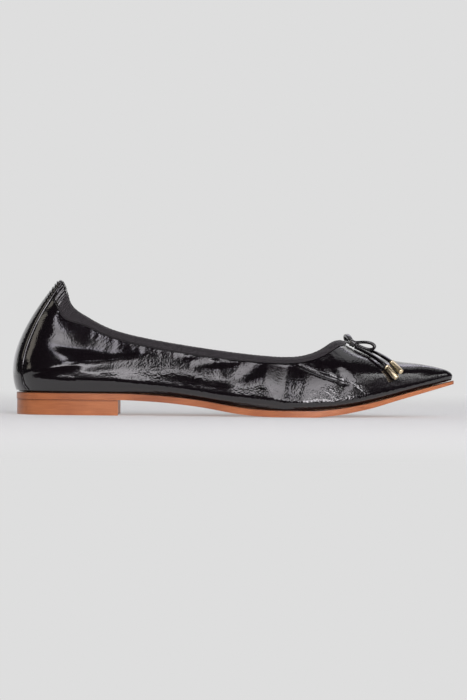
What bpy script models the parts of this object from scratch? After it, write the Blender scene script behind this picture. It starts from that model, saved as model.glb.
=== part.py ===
"""A pointed toe flat shoe for the right foot: black patent upper, elastic topline, tan sole and low heel.

Blender 4.5, metres, +Z up, toe towards +X, the outer (little toe) side towards -Y. The origin is on the
floor, under the middle of the shoe. The upper is a surface of ribs: each rib is a Bezier curve that rises
from the feather line, where the upper meets the sole, to the topline.
"""

import math

import bpy
import numpy as np
from mathutils import Matrix, Vector

# Driving sizes of the shoe
LENGTH = 0.264
BALL_WIDTH = 0.076
TOE_SWING = 0.005
BACK_RISE = 0.0654
SIDE_RISE = 0.0290
THROAT_RISE = 0.0386
UPPER_WALL = 0.0016

# Sole, heel and insole
HEEL_LIFT = 0.0092
TOE_SPRING = 0.0198
SOLE_THICKNESS = 0.0040
SOLE_MARGIN = 0.0014
SOLE_EDGE_ROUND = 0.0006
HEEL_LENGTH = 0.0600
HEEL_TAPER = 0.0006
BREAST_RADIUS = 0.200
INSOLE_THICKNESS = 0.0020
INSOLE_CLEARANCE = 0.0009

# Topline binding and back strip
BINDING_WIDTH = 0.0052
BINDING_THICKNESS = 0.0009
HEEL_BAND_WIDTH = 0.0125
HEEL_BAND_REACH = 0.0120
BINDING_BLEND = 0.04
STRIP_THICKNESS = 0.0010
STRIP_WIDTH = 0.0350
STRIP_TURN_IN = 0.0100

# Bow
BOW_SETBACK = 0.0064
RIBBON_WIDTH = 0.0023
RIBBON_THICKNESS = 0.0011
KNOT_SIZE = (0.0045, 0.0046, 0.0043)
LOOP_LENGTH = 0.0152
LOOP_HEIGHT = 0.0040
LOOP_LIFT = 0.0003
TAIL_DIAMETER = 0.0020
TIP_RADIUS = 0.0017
TIP_LENGTH = 0.0100
TIP_BORE_DEPTH = 0.0040

# Clearance between pieces that touch, and under the upper, whose foot follows the bent sole
GAP = 0.0003
SEAT_GAP = 0.0005

# Fineness of the faceted solids
RIB_COUNT = 100
RIB_STEPS = 10
LOOP_STEPS = 18
CURVE_SAMPLES = 64
ROUND_STEPS = 20

HALF_BALL = BALL_WIDTH / 2

# Sole line from heel to toe. along is a share of LENGTH, heel of HEEL_LIFT, spring of TOE_SPRING and
# thick of SOLE_THICKNESS; the underside is heel plus spring above the floor.
SOLE_LINE = [
    # along, heel, spring, thick
    (0.000, 1.00, 0.000, 1.00),
    (0.240, 1.00, 0.000, 1.00),
    (0.320, 0.91, 0.000, 1.00),
    (0.420, 0.62, 0.000, 1.02),
    (0.515, 0.17, 0.000, 1.05),
    (0.560, 0.04, 0.000, 1.05),
    (0.600, 0.00, 0.000, 1.02),
    (0.680, 0.00, 0.000, 1.00),
    (0.720, 0.00, 0.045, 0.97),
    (0.800, 0.00, 0.237, 0.88),
    (0.880, 0.00, 0.540, 0.72),
    (0.945, 0.00, 0.788, 0.65),
    (1.000, 0.00, 1.000, 0.55),
]

# Ribs of the upper from the heel centre to the toe centre. foot_x and top_x are shares of LENGTH,
# foot and top half widths (outer side, inner side) of HALF_BALL. rise is the height of the top above
# the sole below it. The lower handle of the rib leans out by belly (a share of HALF_BALL) and up by
# lift (of the rib's own height); the upper one is hood long (of the rib's own chord), turned by turn
# degrees from the toe towards the side and dipping by dip degrees.
RIBS = [
    # foot_x, foot_out, foot_in, top_x, top_out, top_in, rise, belly, lift, hood, turn, dip
    (0.0144, 0.000, 0.000, 0.1023, 0.000, 0.000, 1.000 * BACK_RISE, 0.235, 0.300, 0.391, 180, 51.5),
    (0.0258, 0.316, 0.316, 0.1138, 0.166, 0.166, 0.945 * BACK_RISE, 0.212, 0.290, 0.380, 150, 53),
    (0.0549, 0.534, 0.534, 0.1269, 0.289, 0.289, 0.792 * BACK_RISE, 0.179, 0.320, 0.377, 127, 56),
    (0.1023, 0.663, 0.663, 0.1591, 0.382, 0.382, 0.682 * BACK_RISE, 0.150, 0.339, 0.396, 110, 61),
    (0.1742, 0.711, 0.711, 0.2083, 0.487, 0.487, 0.575 * BACK_RISE, 0.132, 0.375, 0.407, 100, 66),
    (0.2652, 0.711, 0.684, 0.2765, 0.579, 0.579, 1.118 * SIDE_RISE, 0.132, 0.406, 0.430, 95, 70),
    (0.3712, 0.711, 0.618, 0.3712, 0.658, 0.645, 1.018 * SIDE_RISE, 0.145, 0.377, 0.410, 92, 70),
    (0.4848, 0.803, 0.684, 0.4848, 0.705, 0.684, 1.021 * SIDE_RISE, 0.145, 0.375, 0.406, 90, 62),
    (0.5871, 0.961, 0.882, 0.5795, 0.721, 0.721, 1.031 * SIDE_RISE, 0.132, 0.404, 0.418, 88, 46),
    (0.6742, 0.989, 0.995, 0.6515, 0.674, 0.689, 1.044 * SIDE_RISE, 0.132, 0.367, 0.426, 80, 38),
    (0.7614, 0.816, 0.884, 0.7008, 0.539, 0.553, 0.889 * THROAT_RISE, 0.158, 0.359, 0.483, 60, 33),
    (0.8485, 0.526, 0.605, 0.7273, 0.358, 0.368, 0.990 * THROAT_RISE, 0.145, 0.348, 0.529, 42, 31),
    (0.9205, 0.295, 0.337, 0.7386, 0.200, 0.205, 1.008 * THROAT_RISE, 0.105, 0.418, 0.496, 22, 30),
    (0.9708, 0.137, 0.145, 0.7436, 0.084, 0.084, 1.009 * THROAT_RISE, 0.058, 0.487, 0.448, 9, 31),
    (0.9973, 0.000, 0.000, 0.7455, 0.000, 0.000, 1.007 * THROAT_RISE, 0.037, 0.500, 0.420, 0, 31.4),
]

# Back strip edge from the sole to the rim. up is the share of the rib's height, half the share of
# half STRIP_WIDTH.
STRIP_EDGE = [
    # up, half
    (0.02, 1.00),
    (0.10, 0.86),
    (0.30, 0.80),
    (0.50, 0.68),
    (0.75, 0.48),
    (1.00, 0.30),
]

# Routes of the two bow ends over the vamp, from the knot. back is the way round from the toe centre as a
# share of the outer side, up the share of the rib there, high the distance from the vamp in TAIL_DIAMETER.
TAIL_ROUTES = {
    "upper": [
        # back, up, high
        (-0.014, 0.895, 0.80),
        (-0.008, 0.850, 0.95),
        (0.004, 0.785, 1.20),
        (0.032, 0.690, 1.20),
        (0.052, 0.580, 1.12),
        (0.066, 0.480, 1.12),
    ],
    "lower": [
        (0.021, 0.895, 0.72),
        (0.030, 0.840, 0.74),
        (0.045, 0.770, 0.80),
        (0.064, 0.670, 0.95),
        (0.079, 0.550, 1.08),
        (0.088, 0.430, 1.12),
    ],
}

# Bow loops. turn is the plan angle of the loop from the toe towards the outer side and rise its pitch in
# degrees, long and tall are shares of LOOP_LENGTH and LOOP_HEIGHT, and lean tilts its plane in degrees.
BOW_LOOPS = {
    "near": {"turn": 17, "rise": -10, "long": 0.90, "tall": 1.00, "lean": 6},
    "far": {"turn": 250, "rise": 16, "long": 0.80, "tall": 0.90, "lean": -8},
}

PATENT = {"color": (0.010, 0.009, 0.010), "roughness": 0.12, "metallic": 0.0}
ELASTIC = {"color": (0.028, 0.025, 0.027), "roughness": 0.75, "metallic": 0.0}
TAN_SOLE = {"color": (0.430, 0.158, 0.068), "roughness": 0.42, "metallic": 0.0}
SOCK = {"color": (0.560, 0.400, 0.270), "roughness": 0.60, "metallic": 0.0}
GOLD = {"color": (0.900, 0.660, 0.300), "roughness": 0.18, "metallic": 1.0}


def clear_scene():
    for obj in list(bpy.data.objects):
        bpy.data.objects.remove(obj, do_unlink=True)


def make_material(name, finish):
    material = bpy.data.materials.new(name)
    material.use_nodes = True
    shader = material.node_tree.nodes["Principled BSDF"]
    shader.inputs["Base Color"].default_value = (*finish["color"], 1.0)
    shader.inputs["Roughness"].default_value = finish["roughness"]
    shader.inputs["Metallic"].default_value = finish["metallic"]
    return material


def monotone(at, knots, values):
    """Piecewise cubic through the table's values that never overshoots, so its level stretches stay level."""
    step = np.diff(knots)
    slope = np.diff(values) / step
    tangent = np.zeros(len(knots))
    tangent[0] = slope[0]
    tangent[-1] = slope[-1]
    for i in range(1, len(knots) - 1):
        if slope[i - 1] * slope[i] > 0:
            before = 2 * step[i] + step[i - 1]
            after = step[i] + 2 * step[i - 1]
            tangent[i] = (before + after) / (before / slope[i - 1] + after / slope[i])
    at = np.clip(at, knots[0], knots[-1])
    k = np.clip(np.searchsorted(knots, at, side="right") - 1, 0, len(step) - 1)
    t = (at - knots[k]) / step[k]
    start = (1 + 2 * t) * (1 - t) ** 2 * values[k] + t * (1 - t) ** 2 * step[k] * tangent[k]
    end = t * t * (3 - 2 * t) * values[k + 1] + t * t * (t - 1) * step[k] * tangent[k + 1]
    return start + end


def column(table, index):
    return np.array([row[index] for row in table], float)


def sole_bottom(x):
    """Height of the sole's underside above the floor at x from the heel."""
    along = column(SOLE_LINE, 0)
    heights = HEEL_LIFT * column(SOLE_LINE, 1) + TOE_SPRING * column(SOLE_LINE, 2)
    return monotone(np.asarray(x) / LENGTH, along, heights)


def sole_top(x):
    thickness = SOLE_THICKNESS * column(SOLE_LINE, 3)
    return sole_bottom(x) + monotone(np.asarray(x) / LENGTH, column(SOLE_LINE, 0), thickness)


def swing(x):
    """Sideways curve of the whole shoe towards the big toe, from the waist to the tip."""
    waist = 0.45
    return TOE_SWING * np.clip((x / LENGTH - waist) / (1 - waist), 0, None) ** 2


def closed_spline(knots, values, at):
    """Smooth closed curve through the rows of values at the knots, which span one turn."""
    n = len(values)
    step = np.diff(knots)
    matrix = np.zeros((n, n))
    right = np.zeros((n, values.shape[1]))
    for i in range(n):
        before = (i - 1) % n
        after = (i + 1) % n
        matrix[i, before] += step[before]
        matrix[i, i] += 2 * (step[before] + step[i])
        matrix[i, after] += step[i]
        rising = (values[after] - values[i]) / step[i]
        falling = (values[i] - values[before]) / step[before]
        right[i] = 6 * (rising - falling)
    bend = np.linalg.solve(matrix, right)
    at = np.mod(at, 1)
    k = np.clip(np.searchsorted(knots, at, side="right") - 1, 0, n - 1)
    q = (k + 1) % n
    width = step[k][:, None]
    a = (knots[k + 1] - at)[:, None] / width
    b = 1 - a
    curve = (a**3 - a) * bend[k] + (b**3 - b) * bend[q]
    return a * values[k] + b * values[q] + curve * width**2 / 6


def chord_shares(points):
    """Share of the closed polygon's length at each of its points, from 0 to 1."""
    closed = np.vstack([points, points[:1]])
    lengths = np.linalg.norm(np.diff(closed, axis=0), axis=1)
    return np.concatenate([[0], np.cumsum(lengths)]) / lengths.sum()


def rib_controls():
    """Knots and the four Bezier points of each rib, round the shoe: heel, outer side, toe, inner side."""
    outer = [(row, -1, row[1], row[4]) for row in RIBS]
    inner = [(row, 1, row[2], row[5]) for row in RIBS[-2:0:-1]]
    ribs = outer + inner
    side = np.array([rib[1] for rib in ribs], float)
    rows = np.array([rib[0] for rib in ribs], float)
    foot_x = LENGTH * rows[:, 0]
    top_x = LENGTH * rows[:, 3]
    foot_y = side * HALF_BALL * np.array([rib[2] for rib in ribs])
    top_y = side * HALF_BALL * np.array([rib[3] for rib in ribs])
    foot = np.stack([foot_x, foot_y, sole_top(foot_x) + SEAT_GAP], axis=1)
    top = np.stack([top_x, top_y, sole_top(top_x) + rows[:, 6]], axis=1)
    knots = (chord_shares(foot) + chord_shares(top)) / 2

    small = 1e-4
    ahead = closed_spline(knots, foot[:, :2], knots[:-1] + small)
    behind = closed_spline(knots, foot[:, :2], knots[:-1] - small)
    along = ahead - behind
    along /= np.linalg.norm(along, axis=1)[:, None]
    outward = np.stack([along[:, 1], -along[:, 0]], axis=1)

    height = top[:, 2] - foot[:, 2]
    lower = foot.copy()
    lower[:, :2] += outward * (HALF_BALL * rows[:, 7])[:, None]
    lower[:, 2] += height * rows[:, 8]
    turn = np.radians(rows[:, 10])
    dip = np.radians(rows[:, 11])
    lean = np.stack([np.cos(turn) * np.cos(dip), side * np.sin(turn) * np.cos(dip), -np.sin(dip)], axis=1)
    chord = np.linalg.norm(top - foot, axis=1)
    upper = top + lean * (chord * rows[:, 9])[:, None]
    return knots, np.stack([foot, lower, upper, top], axis=1)


KNOTS, CONTROLS = rib_controls()
TOE_TURN = KNOTS[len(RIBS) - 1]


def upper_point(turn, up):
    """Points of the upper's outside. turn goes once round from the heel centre, up from sole to rim."""
    flat = CONTROLS.reshape(len(CONTROLS), -1)
    c = closed_spline(KNOTS, flat, np.ravel(turn)).reshape(*np.shape(turn), 4, 3)
    t = np.asarray(up)[..., None]
    point = (1 - t) ** 3 * c[..., 0, :] + 3 * (1 - t) ** 2 * t * c[..., 1, :]
    point = point + 3 * (1 - t) * t**2 * c[..., 2, :] + t**3 * c[..., 3, :]
    point[..., 1] += swing(point[..., 0])
    return point


def upper_frame(turn, up):
    """Point, outward normal and the direction up along the rib."""
    small = 1e-3
    around = upper_point(turn + small, up) - upper_point(turn - small, up)
    rising = upper_point(turn, np.minimum(up + small, 1)) - upper_point(turn, np.maximum(up - small, 0))
    normal = np.cross(around, rising)
    normal /= np.linalg.norm(normal, axis=-1, keepdims=True)
    rising = rising / np.linalg.norm(rising, axis=-1, keepdims=True)
    return upper_point(turn, up), normal, rising


def up_at_distance(turn, distance):
    """The up value of the point this far below the rim, measured along the rib."""
    up = np.linspace(1, 0, CURVE_SAMPLES)
    found = []
    for one, far in zip(turn, distance):
        rib = upper_point(np.full(len(up), one), up)
        run = np.concatenate([[0], np.cumsum(np.linalg.norm(np.diff(rib, axis=0), axis=1))])
        found.append(np.interp(far, run, up))
    return np.array(found)


def strip_half_width(up):
    return STRIP_WIDTH / 2 * monotone(up, column(STRIP_EDGE, 0), column(STRIP_EDGE, 1))


def turn_at_width(up, width):
    """The turn of the point this far from the back seam, measured level round the heel."""
    turn = np.linspace(0, KNOTS[4], CURVE_SAMPLES)
    ring = upper_point(turn, np.full(len(turn), up))
    run = np.concatenate([[0], np.cumsum(np.linalg.norm(np.diff(ring, axis=0), axis=1))])
    return np.interp(width, run, turn)


def even_turns(start, end, count):
    """Turns from start to end, closer together where the feather line bends more, in plan or in height."""
    turn = np.linspace(start, end, 20 * count)
    line = upper_point(turn, np.zeros(len(turn)))
    step = np.diff(line, axis=0)
    length = np.linalg.norm(step, axis=1)
    heading = np.unwrap(np.arctan2(step[:, 1], step[:, 0]))
    slope = np.arctan2(step[:, 2], np.hypot(step[:, 0], step[:, 1]))
    bend = np.hypot(np.gradient(heading), 3 * np.gradient(slope))
    share = np.concatenate([[0], np.cumsum(length / length.sum() + bend / bend.sum())])
    return np.interp(np.linspace(0, share[-1], count + 1), share, turn)


def shoe_turns():
    """Turns of the ribs once round the shoe: heel centre, outer side, toe centre, inner side."""
    outer = even_turns(0.0, TOE_TURN, RIB_COUNT // 2)
    inner = even_turns(TOE_TURN, 1.0, RIB_COUNT // 2)
    return np.concatenate([outer, inner[1:-1]])


TURNS = shoe_turns()


def shoe_centre():
    """Middle of the shoe in plan, which becomes the origin."""
    turn, up = np.meshgrid(TURNS, np.linspace(0, 1, RIB_STEPS + 1), indexing="ij")
    points = upper_point(turn, up)
    middle_y = (points[..., 1].min() + points[..., 1].max()) / 2
    return np.array([LENGTH / 2, middle_y, 0.0])


ORIGIN = shoe_centre()


def new_object(name, mesh, finish):
    obj = bpy.data.objects.new(name, mesh)
    obj.data.materials.append(make_material(name + "_finish", finish))
    bpy.data.collections["pointed_flat"].objects.link(obj)
    return obj


def mesh_from(name, points, faces):
    mesh = bpy.data.meshes.new(name)
    mesh.from_pydata([tuple(p) for p in points], [], faces)
    mesh.update()
    mesh.shade_smooth()
    return mesh


def loft(name, rows, closed):
    """Mesh over a grid of points, row by row; closed joins the last row to the first."""
    count, across = rows.shape[:2]
    faces = []
    for i in range(count if closed else count - 1):
        a = i * across
        b = (i + 1) % count * across
        for j in range(across - 1):
            faces.append((a + j, b + j, b + j + 1, a + j + 1))
    return mesh_from(name, rows.reshape(-1, 3) - ORIGIN, faces)


def solidify(obj, thickness, outwards):
    wall = obj.modifiers.new("wall", "SOLIDIFY")
    wall.thickness = thickness
    wall.offset = 1 if outwards else -1
    wall.use_even_offset = True
    return wall


def outline(outset):
    """Feather line in plan, moved outwards by outset, one point for each rib from the heel round."""
    level = np.zeros(RIB_COUNT)
    point = upper_point(TURNS, level)
    small = 1e-3
    around = upper_point(TURNS + small, level) - upper_point(TURNS - small, level)
    around[:, 2] = 0
    around /= np.linalg.norm(around, axis=1)[:, None]
    outward = np.stack([around[:, 1], -around[:, 0]], axis=1)
    return point[:, :2] + outward * outset


def plate(name, rings, finish):
    """Closed solid between level-edged rings, capped by strips that run straight across the shoe."""
    count = len(rings[0])
    points = np.concatenate(rings)
    faces = []
    for r in range(len(rings) - 1):
        for i in range(count):
            j = (i + 1) % count
            faces.append((r * count + i, r * count + j, (r + 1) * count + j, (r + 1) * count + i))
    half = count // 2
    for base, is_top in ((0, False), ((len(rings) - 1) * count, True)):
        for i in range(half):
            strip = [base + i, base + i + 1, base + (count - i - 1) % count, base + (count - i) % count]
            strip = list(dict.fromkeys(strip))
            faces.append(tuple(strip if is_top else strip[::-1]))
    obj = new_object(name, mesh_from(name, points - ORIGIN, faces), finish)
    obj.data.set_sharp_from_angle(angle=math.radians(35))
    return obj


def ring(outset, height):
    flat = outline(outset)
    return np.column_stack([flat, height(flat[:, 0])])


def add_upper():
    turns, ups = np.meshgrid(TURNS, np.linspace(0, 1, RIB_STEPS + 1), indexing="ij")
    obj = new_object("upper", loft("upper", upper_point(turns, ups), closed=True), PATENT)
    solidify(obj, UPPER_WALL, outwards=False)


def add_outsole():
    edge = SOLE_EDGE_ROUND
    rings = [
        ring(SOLE_MARGIN - edge, sole_bottom),
        ring(SOLE_MARGIN, lambda x: sole_bottom(x) + edge),
        ring(SOLE_MARGIN, lambda x: sole_top(x) - edge / 2),
        ring(SOLE_MARGIN - edge / 2, sole_top),
    ]
    plate("outsole", rings, TAN_SOLE)


def add_insole():
    inset = -(UPPER_WALL + INSOLE_CLEARANCE)
    edge = INSOLE_THICKNESS / 4
    rings = [
        ring(inset, lambda x: sole_top(x) + GAP),
        ring(inset, lambda x: sole_top(x) + GAP + INSOLE_THICKNESS - edge),
        ring(inset - edge, lambda x: sole_top(x) + GAP + INSOLE_THICKNESS),
    ]
    plate("insole", rings, SOCK)


def add_heel():
    """Low block under the heel seat, cut off in front by a wide shallow arc."""
    edge = SOLE_EDGE_ROUND
    level = HEEL_LIFT - GAP
    rings = [
        ring(SOLE_MARGIN - HEEL_TAPER - edge, lambda x: np.zeros(len(x))),
        ring(SOLE_MARGIN - HEEL_TAPER, lambda x: np.full(len(x), edge)),
        ring(SOLE_MARGIN, lambda x: np.full(len(x), level)),
    ]
    heel = plate("heel", rings, TAN_SOLE)
    heel_back = LENGTH * RIBS[0][0] - SOLE_MARGIN
    bpy.ops.mesh.primitive_cylinder_add(vertices=256, radius=BREAST_RADIUS, depth=4 * HEEL_LIFT)
    cutter = bpy.context.object
    cutter.name = "breast_cutter"
    cutter.location = (heel_back + HEEL_LENGTH + BREAST_RADIUS - ORIGIN[0], -ORIGIN[1], 0)
    cutter.display_type = "WIRE"
    cutter.hide_render = True
    for collection in list(cutter.users_collection):
        collection.objects.unlink(cutter)
    bpy.data.collections["cutters"].objects.link(cutter)
    cut = heel.modifiers.new("breast", "BOOLEAN")
    cut.operation = "DIFFERENCE"
    cut.object = cutter


def fold_over(rim, normal, rising):
    """Three points of the round fold over the rim for each rib, GAP clear of the wall's edge."""
    centre = rim - normal * UPPER_WALL / 2
    radius = UPPER_WALL / 2 + GAP
    turned = np.radians([45, 90, 135])
    return [centre + radius * (math.cos(angle) * normal + math.sin(angle) * rising) for angle in turned]


def binding_reach(turn):
    """How far the elastic band comes down below the rim at each turn: further where it gathers at the heel."""
    rim = upper_point(turn, np.ones(len(turn)))
    back = rim[:, 0] - LENGTH * RIBS[0][3]
    gather = np.exp(-((back / HEEL_BAND_REACH) ** 2))
    above_rim = UPPER_WALL / 2 + GAP + BINDING_THICKNESS
    return BINDING_WIDTH + (HEEL_BAND_WIDTH - BINDING_WIDTH) * gather - above_rim


def strip_edge_turn(up, clearance):
    return np.array([turn_at_width(one, strip_half_width(one) + clearance) for one in up])


def add_binding():
    """Elastic band folded over the rim, from one edge of the back strip round to the other."""
    first = strip_edge_turn(np.ones(1), 2 * GAP)[0]
    inner_turns = TURNS[(TURNS > first * 1.2) & (TURNS < 1 - first * 1.2)]
    turns = np.concatenate([[first], inner_turns, [1 - first]])
    reach = up_at_distance(turns, binding_reach(turns))
    from_strip = np.minimum(turns, 1 - turns) - first
    near_strip = np.clip(1 - from_strip / BINDING_BLEND, 0, 1)
    side = np.where(turns < 0.5, 1, -1)
    outside = []
    inside = []
    for share in np.linspace(0, 1, 3):
        up = reach + (1 - reach) * share
        shifted = turns + side * near_strip * (strip_edge_turn(up, 2 * GAP) - first)
        point, normal, _ = upper_frame(shifted, up)
        outside.append(point + normal * GAP)
        inside.append(point - normal * (UPPER_WALL + GAP))
    fold = fold_over(*upper_frame(turns, np.ones_like(turns)))
    rows = np.stack(outside + fold + inside[::-1], axis=1)
    obj = new_object("topline_binding", loft("topline_binding", rows, closed=False), ELASTIC)
    solidify(obj, BINDING_THICKNESS, outwards=True)


def add_back_strip():
    """Strip of patent leather up the back seam, over the rim and a little way down the inside."""
    side = np.linspace(-1, 1, 13)
    levels = np.linspace(STRIP_EDGE[0][0], 1, RIB_STEPS + 1)
    turned_in = np.linspace(1, up_at_distance(np.zeros(1), np.full(1, STRIP_TURN_IN))[0], 4)

    def row(up, shift):
        edge = strip_edge_turn(np.full(1, up), 0.0)[0]
        point, normal, _ = upper_frame(edge * side, np.full(len(side), up))
        return point + normal * shift

    outside = [row(up, GAP) for up in levels]
    inside = [row(up, -UPPER_WALL - GAP) for up in turned_in]
    edge = strip_edge_turn(np.ones(1), 0.0)[0]
    fold = fold_over(*upper_frame(edge * side, np.ones(len(side))))
    rows = np.stack(outside + fold + inside, axis=1)
    obj = new_object("back_strip", loft("back_strip", rows, closed=False), PATENT)
    solidify(obj, STRIP_THICKNESS, outwards=True)


def knot_frame():
    """Centre of the knot and its axes: ahead along the ridge, sideways, and away from the vamp."""
    ridge = np.array([TOE_TURN])
    point, normal, _ = upper_frame(ridge, up_at_distance(ridge, np.array([BOW_SETBACK])))
    seat = Vector(point[0])
    away = Vector(normal[0])
    centre = seat + away * (GAP + RIBBON_THICKNESS / 4 + KNOT_SIZE[2] / 2)
    side = Vector((0, 1, 0))
    ahead = side.cross(away).normalized()
    side = away.cross(ahead)
    axes = Matrix((ahead, side, away)).transposed()
    return centre - Vector(ORIGIN), axes


def add_knot():
    centre, axes = knot_frame()
    bpy.ops.mesh.primitive_cube_add(size=1)
    knot = bpy.context.object
    knot.name = "bow_knot"
    knot.data.name = "bow_knot"
    for vertex in knot.data.vertices:
        vertex.co = Vector(a * b for a, b in zip(vertex.co, KNOT_SIZE))
    knot.matrix_world = Matrix.Translation(centre) @ axes.to_4x4()
    knot.data.materials.append(make_material("bow_knot_finish", PATENT))
    for collection in list(knot.users_collection):
        collection.objects.unlink(knot)
    bpy.data.collections["pointed_flat"].objects.link(knot)
    rounding = knot.modifiers.new("rounding", "BEVEL")
    rounding.width = min(KNOT_SIZE) * 0.32
    rounding.segments = 3


def add_loop(name, turn, rise, long, tall, lean):
    """Strip that leaves the knot, turns back and returns: half a lemniscate in its own leaning plane."""
    centre, axes = knot_frame()
    reach = LOOP_LENGTH * long
    start = math.asin((KNOT_SIZE[0] / 2 + GAP + RIBBON_THICKNESS / 2) / reach)
    angles = np.linspace(start, math.pi - start, LOOP_STEPS + 1)
    curve = bpy.data.curves.new(name, "CURVE")
    curve.dimensions = "3D"
    curve.twist_mode = "MINIMUM"
    curve.extrude = (RIBBON_WIDTH - RIBBON_THICKNESS) / 2
    curve.bevel_depth = RIBBON_THICKNESS / 2
    curve.bevel_resolution = 1
    curve.use_fill_caps = True
    spline = curve.splines.new("POLY")
    spline.points.add(len(angles) - 1)
    for point, angle in zip(spline.points, angles):
        along = reach * math.sin(angle)
        away = -LOOP_HEIGHT * tall / 2 * math.sin(2 * angle)
        point.co = (along, away, 0, 1)
    obj = bpy.data.objects.new(name, curve)
    heading = Matrix.Rotation(-math.radians(turn), 4, "Z")
    pitch = Matrix.Rotation(-math.radians(rise), 4, "Y")
    upright = Matrix.Rotation(math.radians(90 + lean), 4, "X")
    root = centre + axes.col[2] * LOOP_LIFT
    obj.matrix_world = Matrix.Translation(root) @ heading @ pitch @ upright
    curve.materials.append(make_material(name + "_finish", PATENT))
    bpy.data.collections["pointed_flat"].objects.link(obj)


def tail_points(route):
    points = []
    for back, up, high in route:
        point, away, _ = upper_frame(np.array([TOE_TURN * (1 - back)]), np.array([up]))
        points.append(Vector(point[0] + away[0] * high * TAIL_DIAMETER - ORIGIN))
    return points


def smooth_route(points, count):
    """Open curve through the route's own points, sampled at even steps of its chord length."""
    places = np.array([tuple(p) for p in points])
    run = np.concatenate([[0], np.cumsum(np.linalg.norm(np.diff(places, axis=0), axis=1))])
    tangent = np.gradient(places, run, axis=0)
    at = np.linspace(0, run[-1], count)
    k = np.clip(np.searchsorted(run, at, side="right") - 1, 0, len(run) - 2)
    width = (run[k + 1] - run[k])[:, None]
    t = (at - run[k])[:, None] / width
    start = (1 + 2 * t) * (1 - t) ** 2 * places[k] + t * (1 - t) ** 2 * width * tangent[k]
    end = t * t * (3 - 2 * t) * places[k + 1] + t * t * (t - 1) * width * tangent[k + 1]
    return start + end


def add_tail(side, route):
    """Free end of the bow's ribbon, as a plain tube, and the metal tip that it runs into."""
    points = smooth_route(tail_points(route), 9)
    curve = bpy.data.curves.new("bow_tail_" + side, "CURVE")
    curve.dimensions = "3D"
    curve.bevel_depth = TAIL_DIAMETER / 2
    curve.bevel_resolution = 2
    curve.use_fill_caps = True
    spline = curve.splines.new("POLY")
    spline.points.add(len(points) - 1)
    for point, place in zip(spline.points, points):
        point.co = (*place, 1)
    obj = bpy.data.objects.new("bow_tail_" + side, curve)
    curve.materials.append(make_material("bow_tail_" + side + "_finish", PATENT))
    bpy.data.collections["pointed_flat"].objects.link(obj)
    add_tip(side, Vector(points[-1]), Vector(points[-1] - points[-2]).normalized())


def add_tip(side, end, direction):
    """Turned metal tube, closed at its far end, that holds the ribbon's end in its bore."""
    name = "bow_tip_" + side
    bore = TAIL_DIAMETER / 2 + GAP
    mouth = TIP_BORE_DEPTH - GAP
    far = mouth - TIP_LENGTH
    edge = TIP_RADIUS * 0.12
    profile = [
        (0, mouth - TIP_BORE_DEPTH),
        (bore, mouth - TIP_BORE_DEPTH),
        (bore, mouth),
        (TIP_RADIUS - edge, mouth),
        (TIP_RADIUS, mouth - edge),
        (TIP_RADIUS, far + edge),
        (TIP_RADIUS - edge, far),
        (0, far),
    ]
    mesh = bpy.data.meshes.new(name)
    mesh.from_pydata([(r, 0, z) for r, z in profile], [(i, i + 1) for i in range(len(profile) - 1)], [])
    obj = new_object(name, mesh, GOLD)
    turning = obj.modifiers.new("turning", "SCREW")
    turning.steps = ROUND_STEPS
    turning.render_steps = ROUND_STEPS
    turning.use_merge_vertices = True
    turning.merge_threshold = 0.00001
    obj.matrix_world = Matrix.Translation(end) @ (-direction).to_track_quat("Z", "Y").to_matrix().to_4x4()


def build_shoe():
    clear_scene()
    for name in ("pointed_flat", "cutters"):
        collection = bpy.data.collections.new(name)
        bpy.context.scene.collection.children.link(collection)
    bpy.data.collections["cutters"].hide_render = True
    add_outsole()
    add_heel()
    add_insole()
    add_upper()
    add_binding()
    add_back_strip()
    add_knot()
    for side, shape in BOW_LOOPS.items():
        add_loop("bow_loop_" + side, **shape)
    for side, route in TAIL_ROUTES.items():
        add_tail(side, route)


build_shoe()
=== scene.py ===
# %% [markdown]
# # A black patent flat with a pointed toe
# This lesson dresses a finished shoe frame: a woman's flat slip-on in crinkled black patent leather, with an
# elastic topline, a back strip, a small bow with metal tips, a thin tan sole and a low heel block. The frame
# gives every place and size, so each piece here starts from the same sizes as the shoe's own last.

# %% Load the frame and keep its box
import math

import bpy
import numpy as np
from mathutils import Matrix, Vector


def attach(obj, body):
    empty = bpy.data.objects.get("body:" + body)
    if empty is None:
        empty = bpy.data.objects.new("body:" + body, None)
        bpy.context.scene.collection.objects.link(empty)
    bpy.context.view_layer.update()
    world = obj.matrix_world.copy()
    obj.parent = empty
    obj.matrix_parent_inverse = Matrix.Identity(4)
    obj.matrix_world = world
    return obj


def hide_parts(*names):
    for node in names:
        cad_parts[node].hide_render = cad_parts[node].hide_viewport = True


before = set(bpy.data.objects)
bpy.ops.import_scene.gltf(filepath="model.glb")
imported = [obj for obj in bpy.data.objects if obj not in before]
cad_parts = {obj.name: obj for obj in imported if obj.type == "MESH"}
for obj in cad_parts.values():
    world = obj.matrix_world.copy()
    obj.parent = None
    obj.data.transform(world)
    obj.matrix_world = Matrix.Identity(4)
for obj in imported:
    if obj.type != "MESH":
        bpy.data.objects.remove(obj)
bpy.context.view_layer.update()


# %% [markdown]
# ## The camera
# The picture is an almost level side view from a few metres away, with the lens only a little above the toe.
# A long lens keeps the sole's two edges nearly in line. The camera stays level and its frame is shifted down,
# as a view camera would do it, and it is rolled by half a degree because the ground in the picture falls
# slightly to the right.

# %% Camera
VIEW_DISTANCE = 2.4
VIEW_HEIGHT = 0.057
VIEW_ROLL = 0.0087
VIEW_DROP_PIXELS = 29.5
MM_PER_PIXEL = 0.6
FRAME_WIDTH = 467
SENSOR_MM = 36.0

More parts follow.
